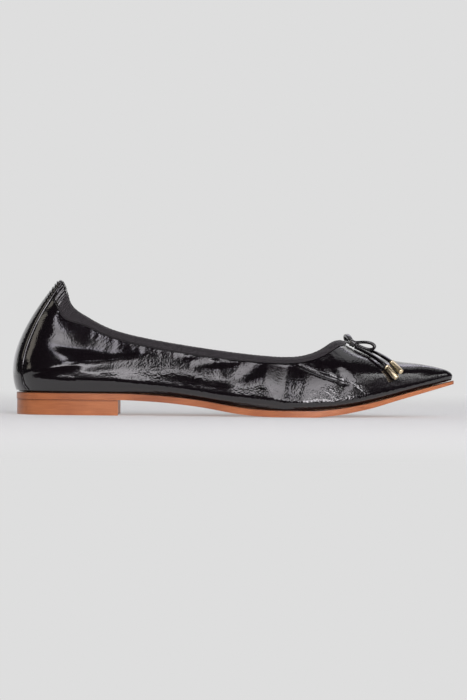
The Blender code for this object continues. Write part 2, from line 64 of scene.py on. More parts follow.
camera_data = bpy.data.cameras.new("camera")
camera_data.sensor_width = SENSOR_MM
camera_data.sensor_fit = "HORIZONTAL"
camera_data.lens = SENSOR_MM * VIEW_DISTANCE / (FRAME_WIDTH * MM_PER_PIXEL / 1000)
camera_data.shift_y = -VIEW_DROP_PIXELS / FRAME_WIDTH
camera_data.clip_end = 50
camera = bpy.data.objects.new("camera", camera_data)
bpy.context.scene.collection.objects.link(camera)
level = Matrix.Rotation(math.radians(90), 4, "X") @ Matrix.Rotation(VIEW_ROLL, 4, "Z")
camera.matrix_world = Matrix.Translation((0.0, -VIEW_DISTANCE, VIEW_HEIGHT)) @ level
bpy.context.scene.camera = camera
print("lens in mm:", round(camera_data.lens, 1))

# %% [markdown]
# ## The sizes of the last
# A shoe is built over a last, so its upper is one smooth surface. Here the surface is a family of ribs: each
# rib is a Bezier curve from the feather line, where the upper meets the sole, up to the topline, and a smooth
# closed curve joins the ribs' handles round the shoe. The tables hold shares of a few named sizes.

# %% Sizes and tables
LENGTH = 0.264
HALF_BALL = 0.038  # half the upper's width at the ball
TOE_SWING = 0.005  # how far the point turns towards the big toe
BACK_RISE = 0.0654  # the rim's height over the sole, at the back, then at the sides and at the throat
SIDE_RISE = 0.0290
THROAT_RISE = 0.0386
WALL = 0.0016  # leather and lining together
HEEL_LIFT = 0.0092
TOE_SPRING = 0.0198
SOLE_THICKNESS = 0.0040
SOLE_MARGIN = 0.0014  # how far the sole stands out from the upper
GAP = 0.0003  # what neighbouring pieces leave between them
SEAT_GAP = 0.0005  # the same between sole and upper

SOLE_LINE = np.array([
    # along, heel, spring, thick
    (0.000, 1.00, 0.000, 1.00),
    (0.240, 1.00, 0.000, 1.00),
    (0.320, 0.91, 0.000, 1.00),
    (0.420, 0.62, 0.000, 1.02),
    (0.515, 0.17, 0.000, 1.05),
    (0.560, 0.04, 0.000, 1.05),
    (0.600, 0.00, 0.000, 1.02),
    (0.680, 0.00, 0.000, 1.00),
    (0.720, 0.00, 0.045, 0.97),
    (0.800, 0.00, 0.237, 0.88),
    (0.880, 0.00, 0.540, 0.72),
    (0.945, 0.00, 0.788, 0.65),
    (1.000, 0.00, 1.000, 0.55),
])

RIBS = np.array([
    # foot_x, foot_out, foot_in, top_x, top_out, top_in, rise, belly, lift, hood, turn, dip
    (0.0144, 0.000, 0.000, 0.1023, 0.000, 0.000, 1.000 * BACK_RISE, 0.235, 0.300, 0.391, 180, 51.5),
    (0.0258, 0.316, 0.316, 0.1138, 0.166, 0.166, 0.945 * BACK_RISE, 0.212, 0.290, 0.380, 150, 53),
    (0.0549, 0.534, 0.534, 0.1269, 0.289, 0.289, 0.792 * BACK_RISE, 0.179, 0.320, 0.377, 127, 56),
    (0.1023, 0.663, 0.663, 0.1591, 0.382, 0.382, 0.682 * BACK_RISE, 0.150, 0.339, 0.396, 110, 61),
    (0.1742, 0.711, 0.711, 0.2083, 0.487, 0.487, 0.575 * BACK_RISE, 0.132, 0.375, 0.407, 100, 66),
    (0.2652, 0.711, 0.684, 0.2765, 0.579, 0.579, 1.118 * SIDE_RISE, 0.132, 0.406, 0.430, 95, 70),
    (0.3712, 0.711, 0.618, 0.3712, 0.658, 0.645, 1.018 * SIDE_RISE, 0.145, 0.377, 0.410, 92, 70),
    (0.4848, 0.803, 0.684, 0.4848, 0.705, 0.684, 1.021 * SIDE_RISE, 0.145, 0.375, 0.406, 90, 62),
    (0.5871, 0.961, 0.882, 0.5795, 0.721, 0.721, 1.031 * SIDE_RISE, 0.132, 0.404, 0.418, 88, 46),
    (0.6742, 0.989, 0.995, 0.6515, 0.674, 0.689, 1.044 * SIDE_RISE, 0.132, 0.367, 0.426, 80, 38),
    (0.7614, 0.816, 0.884, 0.7008, 0.539, 0.553, 0.889 * THROAT_RISE, 0.158, 0.359, 0.483, 60, 33),
    (0.8485, 0.526, 0.605, 0.7273, 0.358, 0.368, 0.990 * THROAT_RISE, 0.145, 0.348, 0.529, 42, 31),
    (0.9205, 0.295, 0.337, 0.7386, 0.200, 0.205, 1.008 * THROAT_RISE, 0.105, 0.418, 0.496, 22, 30),
    (0.9708, 0.137, 0.145, 0.7436, 0.084, 0.084, 1.009 * THROAT_RISE, 0.058, 0.487, 0.448, 9, 31),
    (0.9973, 0.000, 0.000, 0.7455, 0.000, 0.000, 1.007 * THROAT_RISE, 0.037, 0.500, 0.420, 0, 31.4),
])
print("ribs from heel to toe:", len(RIBS))

# %% [markdown]
# ## Curves through the tables
# The sole's side line must stay exactly level where the shoe stands, so it uses a cubic that never overshoots
# its table. The ribs' handles need the opposite, a smooth closed curve with no kink anywhere, which comes
# from one small set of linear equations.

# %% Sole line and closed spline


def cubic_piece(t, width, values, slopes):
    """Cubic over one width, t from 0 to 1, that meets the value and the slope at both of its ends."""
    start = (1 + 2 * t) * (1 - t) ** 2 * values[0] + t * (1 - t) ** 2 * width * slopes[0]
    end = t * t * (3 - 2 * t) * values[1] + t * t * (t - 1) * width * slopes[1]
    return start + end


def monotone(at, knots, values):
    """Cubic pieces whose slope at each knot is the harmonic mean of the two chords, or zero at a turn."""
    step = np.diff(knots)
    slope = np.diff(values) / step
    before, after = slope[:-1], slope[1:]
    w1, w2 = 2 * step[1:] + step[:-1], step[1:] + 2 * step[:-1]
    same = before * after > 0
    safe_before, safe_after = np.where(same, before, 1), np.where(same, after, 1)
    inner = np.where(same, (w1 + w2) / (w1 / safe_before + w2 / safe_after), 0)
    tangent = np.concatenate([slope[:1], inner, slope[-1:]])
    at = np.clip(at, knots[0], knots[-1])
    k = np.clip(np.searchsorted(knots, at, side="right") - 1, 0, len(step) - 1)
    t = (at - knots[k]) / step[k]
    return cubic_piece(t, step[k], (values[k], values[k + 1]), (tangent[k], tangent[k + 1]))


def sole_bottom(x):
    """Height of the underside at x from the heel: heel share of the lift plus toe share of the spring."""
    heights = HEEL_LIFT * SOLE_LINE[:, 1] + TOE_SPRING * SOLE_LINE[:, 2]
    return monotone(np.asarray(x) / LENGTH, SOLE_LINE[:, 0], heights)


def sole_top(x):
    """Height of the sole's upper face: the underside plus a thickness that shrinks towards the toe."""
    thickness = monotone(np.asarray(x) / LENGTH, SOLE_LINE[:, 0], SOLE_THICKNESS * SOLE_LINE[:, 3])
    return sole_bottom(x) + thickness


def swing(x):
    """Sideways curve towards the big toe: a parabola that starts at 0.45 of the length."""
    return TOE_SWING * np.clip((x / LENGTH - 0.45) / 0.55, 0, None) ** 2


def closed_spline(knots, values, at):
    """Smooth closed cubic: second derivatives solve one cyclic linear system, so slopes join everywhere."""
    n = len(values)
    step = np.diff(knots)
    rows = np.arange(n)
    before, after = (rows - 1) % n, (rows + 1) % n
    matrix = np.zeros((n, n))
    matrix[rows, before] += step[before]
    matrix[rows, rows] += 2 * (step[before] + step)
    matrix[rows, after] += step
    rising = (values[after] - values) / step[:, None]
    falling = (values - values[before]) / step[before][:, None]
    bend = np.linalg.solve(matrix, 6 * (rising - falling))
    at = np.mod(at, 1)
    k = np.clip(np.searchsorted(knots, at, side="right") - 1, 0, n - 1)
    q = (k + 1) % n
    width = step[k][:, None]
    a = (knots[k + 1] - at)[:, None] / width
    b = 1 - a
    return a * values[k] + b * values[q] + ((a**3 - a) * bend[k] + (b**3 - b) * bend[q]) * width**2 / 6


print("sole thickness at the ball in mm:", round(float(sole_top(0.17) - sole_bottom(0.17)) * 1000, 2))

# %% [markdown]
# ## The last's surface
# Every later piece asks this surface for a point and for the direction that points away from the foot. The
# first parameter goes once round the shoe from the back seam, the second climbs from the sole to the rim.

# %% Surface of the upper


def unit(vectors):
    """Each vector divided by its own length."""
    return vectors / np.linalg.norm(vectors, axis=-1, keepdims=True)


def chord_shares(points):
    """Distance run round a closed ring of points, as shares of the whole ring."""
    closed = np.vstack([points, points[:1]])
    lengths = np.linalg.norm(np.diff(closed, axis=0), axis=1)
    return np.concatenate([[0], np.cumsum(lengths)]) / lengths.sum()


def rib_controls():
    """Four Bezier points for each rib: foot, foot plus belly and lift, top minus hood, top."""
    outer, inner = RIBS, RIBS[-2:0:-1]
    rows = np.vstack([outer, inner])
    side = np.concatenate([-np.ones(len(outer)), np.ones(len(inner))])
    foot_half = np.concatenate([outer[:, 1], inner[:, 2]])
    top_half = np.concatenate([outer[:, 4], inner[:, 5]])
    foot_x, top_x = LENGTH * rows[:, 0], LENGTH * rows[:, 3]
    foot = np.stack([foot_x, side * HALF_BALL * foot_half, sole_top(foot_x) + SEAT_GAP], axis=1)
    top = np.stack([top_x, side * HALF_BALL * top_half, sole_top(top_x) + rows[:, 6]], axis=1)
    knots = (chord_shares(foot) + chord_shares(top)) / 2
    small = 1e-4
    along = closed_spline(knots, foot[:, :2], knots[:-1] + small)
    along = unit(along - closed_spline(knots, foot[:, :2], knots[:-1] - small))
    height = top[:, 2] - foot[:, 2]
    lower = foot.copy()
    lower[:, :2] += np.stack([along[:, 1], -along[:, 0]], axis=1) * (HALF_BALL * rows[:, 7])[:, None]
    lower[:, 2] += height * rows[:, 8]
    turn, dip = np.radians(rows[:, 10]), np.radians(rows[:, 11])
    lean = np.stack([np.cos(turn) * np.cos(dip), side * np.sin(turn) * np.cos(dip), -np.sin(dip)], axis=1)
    upper = top + lean * (np.linalg.norm(top - foot, axis=1) * rows[:, 9])[:, None]
    return knots, np.stack([foot, lower, upper, top], axis=1)


KNOTS, CONTROLS = rib_controls()
TOE_TURN = KNOTS[len(RIBS) - 1]


def upper_point(turn, up):
    """Cubic Bezier in up of the four handles at this turn, then the sideways swing of the toe."""
    turn, up = np.broadcast_arrays(np.asarray(turn, float), np.asarray(up, float))
    c = closed_spline(KNOTS, CONTROLS.reshape(len(CONTROLS), -1), turn.ravel()).reshape(*turn.shape, 4, 3)
    t = up[..., None]
    point = (1 - t) ** 3 * c[..., 0, :] + 3 * (1 - t) ** 2 * t * c[..., 1, :]
    point = point + 3 * (1 - t) * t**2 * c[..., 2, :] + t**3 * c[..., 3, :]
    point[..., 1] += swing(point[..., 0])
    return point


def upper_frame(turn, up):
    """Point, outward normal (the cross product of the two directions) and the direction up the rib."""
    turn, up = np.broadcast_arrays(np.asarray(turn, float), np.asarray(up, float))
    small = 1e-3
    around = upper_point(turn + small, up) - upper_point(turn - small, up)
    rising = upper_point(turn, np.minimum(up + small, 1)) - upper_point(turn, np.maximum(up - small, 0))
    return upper_point(turn, up), unit(np.cross(around, rising)), unit(rising)


def ribs_evenly(count):
    """Turns spaced evenly by the mean of the foot's and the rim's own lengths."""
    turn = np.linspace(0, 1, 2001)
    edges = [upper_point(turn, up) for up in (0.0, 1.0)]
    run = sum(np.cumsum(np.r_[0, np.linalg.norm(np.diff(edge, axis=0), axis=1)]) for edge in edges)
    return np.interp(np.arange(count) / count * run[-1], run, turn)


edge_points = upper_point(np.linspace(0, 1, 400), 0.0)
# The frame's origin in the last's own places: half the length, and the middle of the sole's width.
MIDDLE = np.array([LENGTH / 2, 0.00064938, 0.0])
print("feather line spans in mm:", np.round((edge_points.max(axis=0) - edge_points.min(axis=0)) * 1000, 1))

# %% [markdown]
# ## Meshes from grids
# One helper turns a grid of points into a mesh, joined round in either direction, with a UV map in metres so
# that a weave keeps its real scale. Another makes a closed slab from an outer and an inner grid. The last one
# dresses a piece: it gets its materials and takes the place of one plain part of the frame.

# %% Mesh helpers


def new_piece(name, points, faces, uv=None, uv_name="metres"):
    """Object at the origin from arrays of points and of four-cornered faces."""
    mesh = bpy.data.meshes.new(name)
    mesh.vertices.add(len(points))
    mesh.vertices.foreach_set("co", np.ascontiguousarray(points - MIDDLE, dtype=np.float32).ravel())
    mesh.loops.add(faces.size)
    mesh.loops.foreach_set("vertex_index", faces.ravel().astype(np.int32))
    mesh.polygons.add(len(faces))
    mesh.polygons.foreach_set("loop_start", np.arange(0, faces.size, faces.shape[1], dtype=np.int32))
    mesh.update(calc_edges=True)
    mesh.validate()
    if uv is not None:
        layer = mesh.uv_layers.new(name=uv_name)
        layer.data.foreach_set("uv", uv[faces.ravel()].astype(np.float32).ravel())
    mesh.shade_smooth()
    piece = bpy.data.objects.new(name, mesh)
    bpy.context.scene.collection.objects.link(piece)
    return piece


def grid_faces(rows, columns, close_rows=False, close_columns=False):
    """Quads between neighbours of a rows by columns grid, as one index array."""
    i = np.arange(rows if close_rows else rows - 1)
    j = np.arange(columns if close_columns else columns - 1)
    i, j = np.meshgrid(i, j, indexing="ij")
    k, m = (i + 1) % rows, (j + 1) % columns
    quads = np.stack([i * columns + j, k * columns + j, k * columns + m, i * columns + m], axis=-1)
    return quads.reshape(-1, 4)


def grid_piece(name, grid, uv=None, close_rows=False, close_columns=False):
    """Piece from a grid of points and, where it has one, its UV map."""
    faces = grid_faces(grid.shape[0], grid.shape[1], close_rows, close_columns)
    flat_uv = None if uv is None else uv.reshape(-1, 2)
    return new_piece(name, grid.reshape(-1, 3), faces, flat_uv)


def tube_piece(name, ring, uv, uv_name="metres"):
    """Tube of closed rings, one a row, with both ends closed by strips from side to side of the end ring."""
    rows, around = ring.shape[:2]
    j = np.arange(around // 2 - 1)
    first = np.stack([j, j + 1, around - 2 - j, around - 1 - j], axis=-1)
    last = (first + (rows - 1) * around)[:, ::-1]
    faces = np.concatenate([grid_faces(rows, around, close_columns=True), first, last])
    return new_piece(name, ring.reshape(-1, 3), faces, uv.reshape(-1, 2), uv_name)


def slab_piece(name, outer, inner, uv):
    """Closed slab: each ring is the outer row, then the inner row backwards."""
    ring = np.concatenate([outer, inner[:, ::-1]], axis=1)
    return tube_piece(name, ring, np.concatenate([uv, uv[:, ::-1]], axis=1))


def run_lengths(grid, axis):
    """Distance run along one axis of a grid of points, in metres."""
    step = np.linalg.norm(np.diff(grid, axis=axis), axis=-1)
    pad = [(1, 0) if a == axis else (0, 0) for a in (0, 1)]
    return np.cumsum(np.pad(step, pad), axis=axis)


def run_uv(grid):
    """UV map in metres: the distances run along rows and along columns."""
    return np.stack([run_lengths(grid, 0), run_lengths(grid, 1)], axis=-1)


def dress(piece, part, *materials):
    """Add the materials, let the piece ride the shoe, and hide the one part of the frame that it replaces."""
    for material in materials:
        piece.data.materials.append(material)
    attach(piece, "root")
    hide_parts(part)
    count = sum(len(p.vertices) - 2 for p in piece.data.polygons)
    print(piece.name, "faces:", len(piece.data.polygons), "triangles:", count)


print("gap between pieces in mm:", GAP * 1000)

# %% [markdown]
# ## Materials: a few small tools
# Colours are written as sRGB hex, as a colour picker shows them, and turned to linear light once. Nodes are
# added by one function, whatever their kind: it sets their values and joins their inputs.

# %% Colour and node tools


def linear(hex_colour):
    """sRGB hex to linear RGBA: c/12.92 below 0.04045, otherwise ((c + 0.055) / 1.055) to the power 2.4."""
    c = np.array([int(hex_colour[i : i + 2], 16) for i in (1, 3, 5)]) / 255
    c = np.where(c <= 0.04045, c / 12.92, ((c + 0.055) / 1.055) ** 2.4)
    return (*map(float, c), 1.0)


def link(tree, node, **sources):
    """Join sources to a node's inputs, named, or numbered as _0_. A node stands for its first output."""
    for key, source in sources.items():
        name = key.strip("_").replace("_", " ")
        target = node.inputs[int(name)] if name.isdigit() else node.inputs[name]
        tree.links.new(source.outputs[0] if isinstance(source, bpy.types.Node) else source, target)


def add_node(tree, kind, settings=None, **sources):
    """Shader node of a kind; settings go to its properties or its sockets, and sources join its inputs."""
    node = tree.nodes.new("ShaderNode" + kind)
    for key, value in (settings or {}).items():
        if isinstance(key, str) and hasattr(node, key):
            setattr(node, key, value)
        else:
            node.inputs[key].default_value = value
    link(tree, node, **sources)
    return node


def new_material(name, **values):
    """Principled material whose plain values are set on its own sockets; gives the material, tree, shader."""
    material = bpy.data.materials.new(name)
    material.use_nodes = True
    tree = material.node_tree
    shader = tree.nodes["Principled BSDF"]
    for key, value in values.items():
        shader.inputs[key.replace("_", " ")].default_value = value
    return material, tree, shader


def colour_steps(node, *stops):
    """Colour ramp stops as (place, hex)."""
    ramp = node.color_ramp
    while len(ramp.elements) > 1:
        ramp.elements.remove(ramp.elements[-1])
    ramp.elements[0].position, ramp.elements[0].color = stops[0][0], linear(stops[0][1])
    for place, colour in stops[1:]:
        ramp.elements.new(place).color = linear(colour)
    return node


print("mid grey #808080 in linear light:", round(linear("#808080")[0], 4))

# %% [markdown]
# ## Crinkled patent leather
# Patent leather is leather under a thick clear polyurethane coat. The coat gives the mirror gloss, with an
# index of about 1.5. This one was tumbled so that the coat is crinkled: grains about 1 mm wide with sharp
# valleys, stronger in some places than in others, which breaks each reflection's edge into jagged teeth.

# %% Patent leather
PATENT_BLACK = "#0d090c"
# Patterns are counted per metre: grains of 1.05 mm with wrinkles of 0.7 mm on them, in rows that sway by 1.6 mm
# every 6 mm, patches of 24 mm, and gathers that are 1.6 mm apart and 11 mm long.
GRAINS, WRINKLES, SWAYS, PATCHES, GATHERS = 950.0, 1500.0, 160.0, 42.0, (620.0, 90.0, 1.0)
SWAY_WIDTH = 0.0016


def patent_leather(name, crinkle):
    """Clear coat over black. Bump height = taut x patch x (grain + 0.4 wrinkle) + 1.6 x gathers."""
    material, tree, shader = new_material(
        name, Base_Color=linear(PATENT_BLACK), Roughness=0.12, IOR=1.5,
        Coat_Weight=1.0, Coat_Roughness=0.02, Coat_IOR=1.5,
    )
    place = add_node(tree, "TexCoord").outputs["Object"]
    # Slow noise bends the grains' rows, so that they don't look like a net.
    sway = add_node(tree, "TexNoise", {"Scale": SWAYS, "Detail": 2.0}, Vector=place).outputs["Color"]
    push = add_node(tree, "VectorMath", {"operation": "SCALE", "Scale": SWAY_WIDTH}, _0_=sway)
    bent = add_node(tree, "VectorMath", {"operation": "ADD"}, _0_=place, _1_=push)
    cells = {"feature": "SMOOTH_F1", "Scale": GRAINS, "Smoothness": 0.35}
    grain = add_node(tree, "TexVoronoi", cells, Vector=bent)
    wrinkle = add_node(tree, "TexNoise", {"Scale": WRINKLES, "Detail": 2.0}, Vector=bent)
    both = add_node(tree, "Math", {"operation": "MULTIPLY_ADD", 1: 0.4}, _0_=wrinkle, _2_=grain)
    cloud = add_node(tree, "TexNoise", {"Scale": PATCHES, "Detail": 3.0}, Vector=place)
    patch = add_node(tree, "MapRange", {"From Min": 0.42, "From Max": 0.66, "To Min": 0.35}, Value=cloud)
    # The stiffener behind the heel keeps the leather there taut, so the crinkle grows from heel to waist.
    along = add_node(tree, "SeparateXYZ", None, _0_=place)
    taut = add_node(tree, "MapRange", {"From Min": -0.085, "From Max": 0.0, "To Min": 0.35}, Value=along)
    amount = add_node(tree, "Math", {"operation": "MULTIPLY"}, _0_=taut, _1_=patch)
    height = add_node(tree, "Math", {"operation": "MULTIPLY"}, _0_=both, _1_=amount)
    # Gathers are noise stretched down the wall, where the skin's own attribute says that it is gathered.
    run = add_node(tree, "UVMap", {"uv_map": "metres"})
    stretched = add_node(tree, "VectorMath", {"operation": "MULTIPLY", 1: GATHERS}, _0_=run)
    folds = add_node(tree, "TexNoise", {"Scale": 1.0, "Detail": 1.0}, Vector=stretched)
    gathered = add_node(tree, "Attribute", {"attribute_name": "gather"}).outputs["Fac"]
    pucker = add_node(tree, "Math", {"operation": "MULTIPLY"}, _0_=folds, _1_=gathered)
    relief = add_node(tree, "Math", {"operation": "MULTIPLY_ADD", 1: 1.6}, _0_=pucker, _2_=height)
    bump = add_node(tree, "Bump", {"Strength": crinkle, "Distance": 0.00030}, Height=relief)
    link(tree, shader, Normal=bump, Coat_Normal=bump)
    return material


crinkled_patent = patent_leather("crinkled_patent_leather", 0.44)
smooth_patent = patent_leather("smooth_patent_leather", 0.15)
print("grain width in mm:", round(1000 / GRAINS, 2))

# %% [markdown]
# ## Lining and sock leather
# Inside, a flat like this has thin vegetable-tanned lining leather, pale and matt, with pores far smaller
# than a millimetre. The pores are drawn a little coarser than real so that they read at all.

# %% Lining leather
BEIGE_CLOUDS, PORES = 60.0, 1400.0


def lining_leather(name, pale, deep):
    """Two beiges in soft clouds of 17 mm; the bump is the distance to the nearest pore, 0.7 mm apart."""
    material, tree, shader = new_material(name, Roughness=0.62, IOR=1.45)
    place = add_node(tree, "TexCoord").outputs["Object"]
    cloud = add_node(tree, "TexNoise", {"Scale": BEIGE_CLOUDS, "Detail": 4.0}, Vector=place)
    tint = colour_steps(add_node(tree, "ValToRGB", None, Fac=cloud), (0.3, deep), (0.7, pale))
    pores = add_node(tree, "TexVoronoi", {"Scale": PORES}, Vector=place)
    bump = add_node(tree, "Bump", {"Strength": 0.25, "Distance": 0.0001}, Height=pores)
    link(tree, shader, Base_Color=tint, Normal=bump)
    return material


beige_lining = lining_leather("beige_lining_leather", "#d9bd9c", "#c9a983")
beige_sock = lining_leather("beige_sock_leather", "#dcc3a4", "#cbae8a")
print("leathers of the inside:", beige_lining.name, beige_sock.name)

# %% [markdown]
# ## The pulled surface of the upper
# An elastic topline gathers the leather, so soft troughs run down from it, and the ball of the foot leaves
# diagonal breaks. They are given in shares of the shoe's length and of the rib's height, as troughs
# with a bell-shaped section that fade towards both ends. A negative depth is a ridge.

# %% Troughs and ridges
CREASES = np.array([
    # from_x, from_up, to_x, to_up, side, width in mm, depth in mm
    (0.650, 0.90, 0.757, 0.40, -1, 1.5, 1.90),
    (0.742, 0.60, 0.748, 0.28, -1, 3.6, 1.70),
    (0.672, 0.95, 0.712, 0.62, -1, 3.6, 0.60),
    (0.620, 0.92, 0.616, 0.10, -1, 7.4, 2.70),
    (0.572, 0.66, 0.560, 0.36, -1, 3.4, -0.40),
    (0.558, 0.90, 0.510, 0.50, -1, 4.5, 1.95),
    (0.506, 0.95, 0.415, 0.74, -1, 3.3, 1.25),
    (0.455, 0.99, 0.378, 0.84, -1, 2.2, 0.75),
    (0.028, 0.20, 0.150, 0.42, -1, 2.6, -0.60),
    (0.120, 0.38, 0.290, 0.70, -1, 2.8, -0.55),
    (0.030, 0.16, 0.300, 0.22, -1, 1.8, -0.22),
    (0.070, 0.58, 0.210, 0.70, -1, 5.6, 1.05),
    (0.030, 0.66, 0.110, 0.84, -1, 5.0, -0.45),
    (0.695, 0.40, 0.722, 0.18, -1, 1.1, 0.28),
    (0.705, 0.42, 0.736, 0.20, -1, 1.1, 0.28),
    (0.716, 0.42, 0.744, 0.22, -1, 1.1, 0.20),
    (0.752, 0.46, 0.792, 0.18, -1, 2.0, 0.30),
    (0.655, 0.84, 0.748, 0.40, 1, 1.6, 0.75),
    (0.600, 0.86, 0.610, 0.18, 1, 4.4, 1.30),
    (0.530, 0.88, 0.526, 0.40, 1, 4.2, 1.10),
    (0.440, 0.94, 0.474, 0.55, 1, 3.8, 0.80),
    (0.370, 0.96, 0.380, 0.62, 1, 3.4, 0.60),
    (0.280, 0.92, 0.250, 0.52, 1, 3.8, 0.45),
    (0.100, 0.56, 0.200, 0.58, 1, 6.5, 1.00),
    (0.040, 0.18, 0.240, 0.44, 1, 2.8, -0.55),
    (0.700, 0.50, 0.732, 0.22, 1, 1.2, 0.28),
    (0.760, 0.50, 0.800, 0.20, 1, 2.2, 0.30),
])
LINE_POINTS, BELL_REACH = 90, 3
FADE_START, FADE_SPAN, FADE_POWER = 0.10, 0.82, 0.8


def turn_at(x_share, up, side):
    """Turn at which a level of the surface passes x, found between finely spaced turns of that side."""
    turn = np.linspace(0, TOE_TURN, 400) if side < 0 else np.linspace(1, TOE_TURN, 400)
    x = upper_point(turn, up)[:, 0]
    return np.interp(x_share * LENGTH, x, turn)


def crease_relief(points):
    """Sum of troughs: depth times a bell of the distance to a line on the surface, faded along it by a sine."""
    flat = points.reshape(-1, 3)
    relief = np.zeros(len(flat))
    share = np.linspace(0, 1, LINE_POINTS)
    for from_x, from_up, to_x, to_up, side, width, depth in CREASES:
        from_turn, to_turn = turn_at(from_x, from_up, side), turn_at(to_x, to_up, side)
        line = upper_point(from_turn + (to_turn - from_turn) * share, from_up + (to_up - from_up) * share)
        # Further away than this the bell is nearly nothing, so only the points near the line are worked out.
        reach = BELL_REACH * width / 1000
        box_low, box_high = line.min(axis=0) - reach, line.max(axis=0) + reach
        near = np.flatnonzero(((flat > box_low) & (flat < box_high)).all(axis=1))
        away = np.linalg.norm(flat[near, None] - line[None], axis=-1)
        place = share[away.argmin(axis=1)]
        fade = np.sin(np.pi * np.clip(FADE_START + FADE_SPAN * place, 0, 1)) ** FADE_POWER
        relief[near] -= depth / 1000 * np.exp(-((away.min(axis=1) / (width / 1000)) ** 2)) * fade
    return relief.reshape(points.shape[:-1])


print("creases placed by hand:", len(CREASES))

# %% [markdown]
# ## Gathers and unevenness
# Under the elastic the rim is gathered into small folds of unequal length, lower ones at the toe and behind
# the heel. Everywhere else the leather was lasted by hand, so it is never quite even.

# %% Gathers and unevenness
GATHER_HIGH, GATHER_START, GATHER_FADE = 0.00010, 0.004, 0.006
GATHER_WAVES = [(31, 1.0, 0.6), (53, 0.7, 2.1), (83, 0.5, 4.0)]  # waves round the rim, share, start
TOE_CALM, HEEL_CALM = 0.14, 0.12  # the calm beside toe and heel, as a share of the way round
SLOW_HIGH = 0.00010


def away_from_toe(turn, least):
    """Share that grows from its least at the toe's centre to one."""
    return least + (1 - least) * np.clip(np.abs(turn - TOE_TURN) / TOE_CALM, 0, 1)


def gather_relief(turn, below_rim):
    """Small folds: sine waves of unequal length round the rim, fading downwards and near toe and heel."""
    wave = sum(share * np.sin(2 * np.pi * count * turn + start) for count, share, start in GATHER_WAVES)
    fade = np.exp(-np.clip(below_rim - GATHER_START, 0, None) / GATHER_FADE)
    fade = np.clip(below_rim / GATHER_START, 0, 1) * fade
    near_heel = 0.25 + 0.75 * np.clip(np.minimum(turn, 1 - turn) / HEEL_CALM - 0.6, 0, 1)
    return GATHER_HIGH * wave * fade * away_from_toe(turn, 0.25) * near_heel


def slow_relief(points):
    """Products of slow waves along, across and up the shoe, about 0.1 mm high."""
    x, y, z = np.moveaxis(points, -1, 0)
    wave = np.sin(x * 150 + 3 * np.sin(z * 90)) * np.cos(z * 160 + y * 60)
    return SLOW_HIGH * (wave + 0.35 * np.sin(x * 310 + z * 380 + y * 90))


print("waves of gathers round the rim:", [count for count, _, _ in GATHER_WAVES])

# %% [markdown]
# ## Fullness
# A lasted upper is fullest low down, where the leather turns under the last, and its point is stuffed. Both
# are broad soft swellings of about a millimetre, so they are simple bells and ramps over the surface.

# %% Fullness
LOW_FULL, LOW_SPREAD, TOE_FULL = 0.0013, 0.12, 0.0008


def low_fullness(points, up):
    """Bell over the rib, centred at 0.15 of its height and at 0.10 ahead of the ball, from the waist on."""
    forward = np.clip((points[..., 0] / LENGTH - 0.15) / 0.20, 0, 1)
    centre = 0.15 - 0.05 * np.clip((points[..., 0] / LENGTH - 0.60) / 0.12, 0, 1)
    return LOW_FULL * np.exp(-(((up - centre) / LOW_SPREAD) ** 2)) * forward**2 * (3 - 2 * forward)


def toe_fullness(points, normal):
    """The more the surface faces up, the fuller: from ahead of the metal tips to just short of the toe."""
    share = points[..., 0] / LENGTH
    start = np.clip((share - 0.865) / 0.06, 0, 1)
    end = np.clip((1.0 - share) / 0.02, 0, 1)
    return TOE_FULL * np.clip(normal[..., 2], 0, 1) ** 2 * start**2 * (3 - 2 * start) * end


print("fullness low down and at the toe in mm:", LOW_FULL * 1000, TOE_FULL * 1000)

# %% [markdown]
# ## The upper
# The upper is one skin. Its outside is the last's surface plus all the reliefs above; a Solidify modifier gives
# it the real wall, and the inside takes the lining leather.

# %% Upper shell
RIB_COUNT, LEVELS = 660, 70
SOLE_HOLD, TOE_HOLD, RIM_HOLD = 0.08, 0.03, 0.0045  # how far the reliefs take to start, at sole and rim
GATHER_REACH = 0.007


def skin_grid(turns, ups):
    """Surface point plus normal times relief, with the relief fading to nothing at sole and rim."""
    turn, up = np.meshgrid(turns, ups, indexing="ij")
    point, normal, _ = upper_frame(turn, up)
    below_rim = run_lengths(point, 1)
    below_rim = below_rim[:, -1:] - below_rim
    hold = np.clip(up / SOLE_HOLD, 0, 1) * np.clip(below_rim / RIM_HOLD, 0, 1)
    relief = crease_relief(point) + slow_relief(point) + gather_relief(turn, below_rim)
    relief = (relief + low_fullness(point, up)) * hold
    relief = relief + toe_fullness(point, normal) * np.clip(up / TOE_HOLD, 0, 1)
    return point + normal * relief[..., None], turn, below_rim


turns = ribs_evenly(RIB_COUNT)
skin, skin_turn, skin_below = skin_grid(turns, np.linspace(0, 1, LEVELS))
upper_shell = grid_piece("upper_shell", skin, run_uv(skin), close_rows=True)
# How gathered the skin is: most within 7 mm of the elastic, and little round the toe.
gathered = np.exp(-skin_below / GATHER_REACH) * away_from_toe(skin_turn, 0.15)
gather = upper_shell.data.attributes.new("gather", "FLOAT", "POINT")
gather.data.foreach_set("value", gathered.astype(np.float32).ravel())
wall = upper_shell.modifiers.new("wall", "SOLIDIFY")
wall.thickness = WALL
wall.offset = -1
wall.material_offset = 1
wall.material_offset_rim = 1
dress(upper_shell, "upper", crinkled_patent, beige_lining)

# %% [markdown]
# ## Elastic topline
# The rim is bound with woven elastic folded over the edge. Stretched in the making, it pulls the leather in.
# Elastic is a plain weave of matt yarn with cross ribs about 0.8 mm apart, which scatter light, so it looks
# dark grey beside the patent.

# %% Woven elastic
CROSS_RIB, YARN = 0.0008, 0.0011


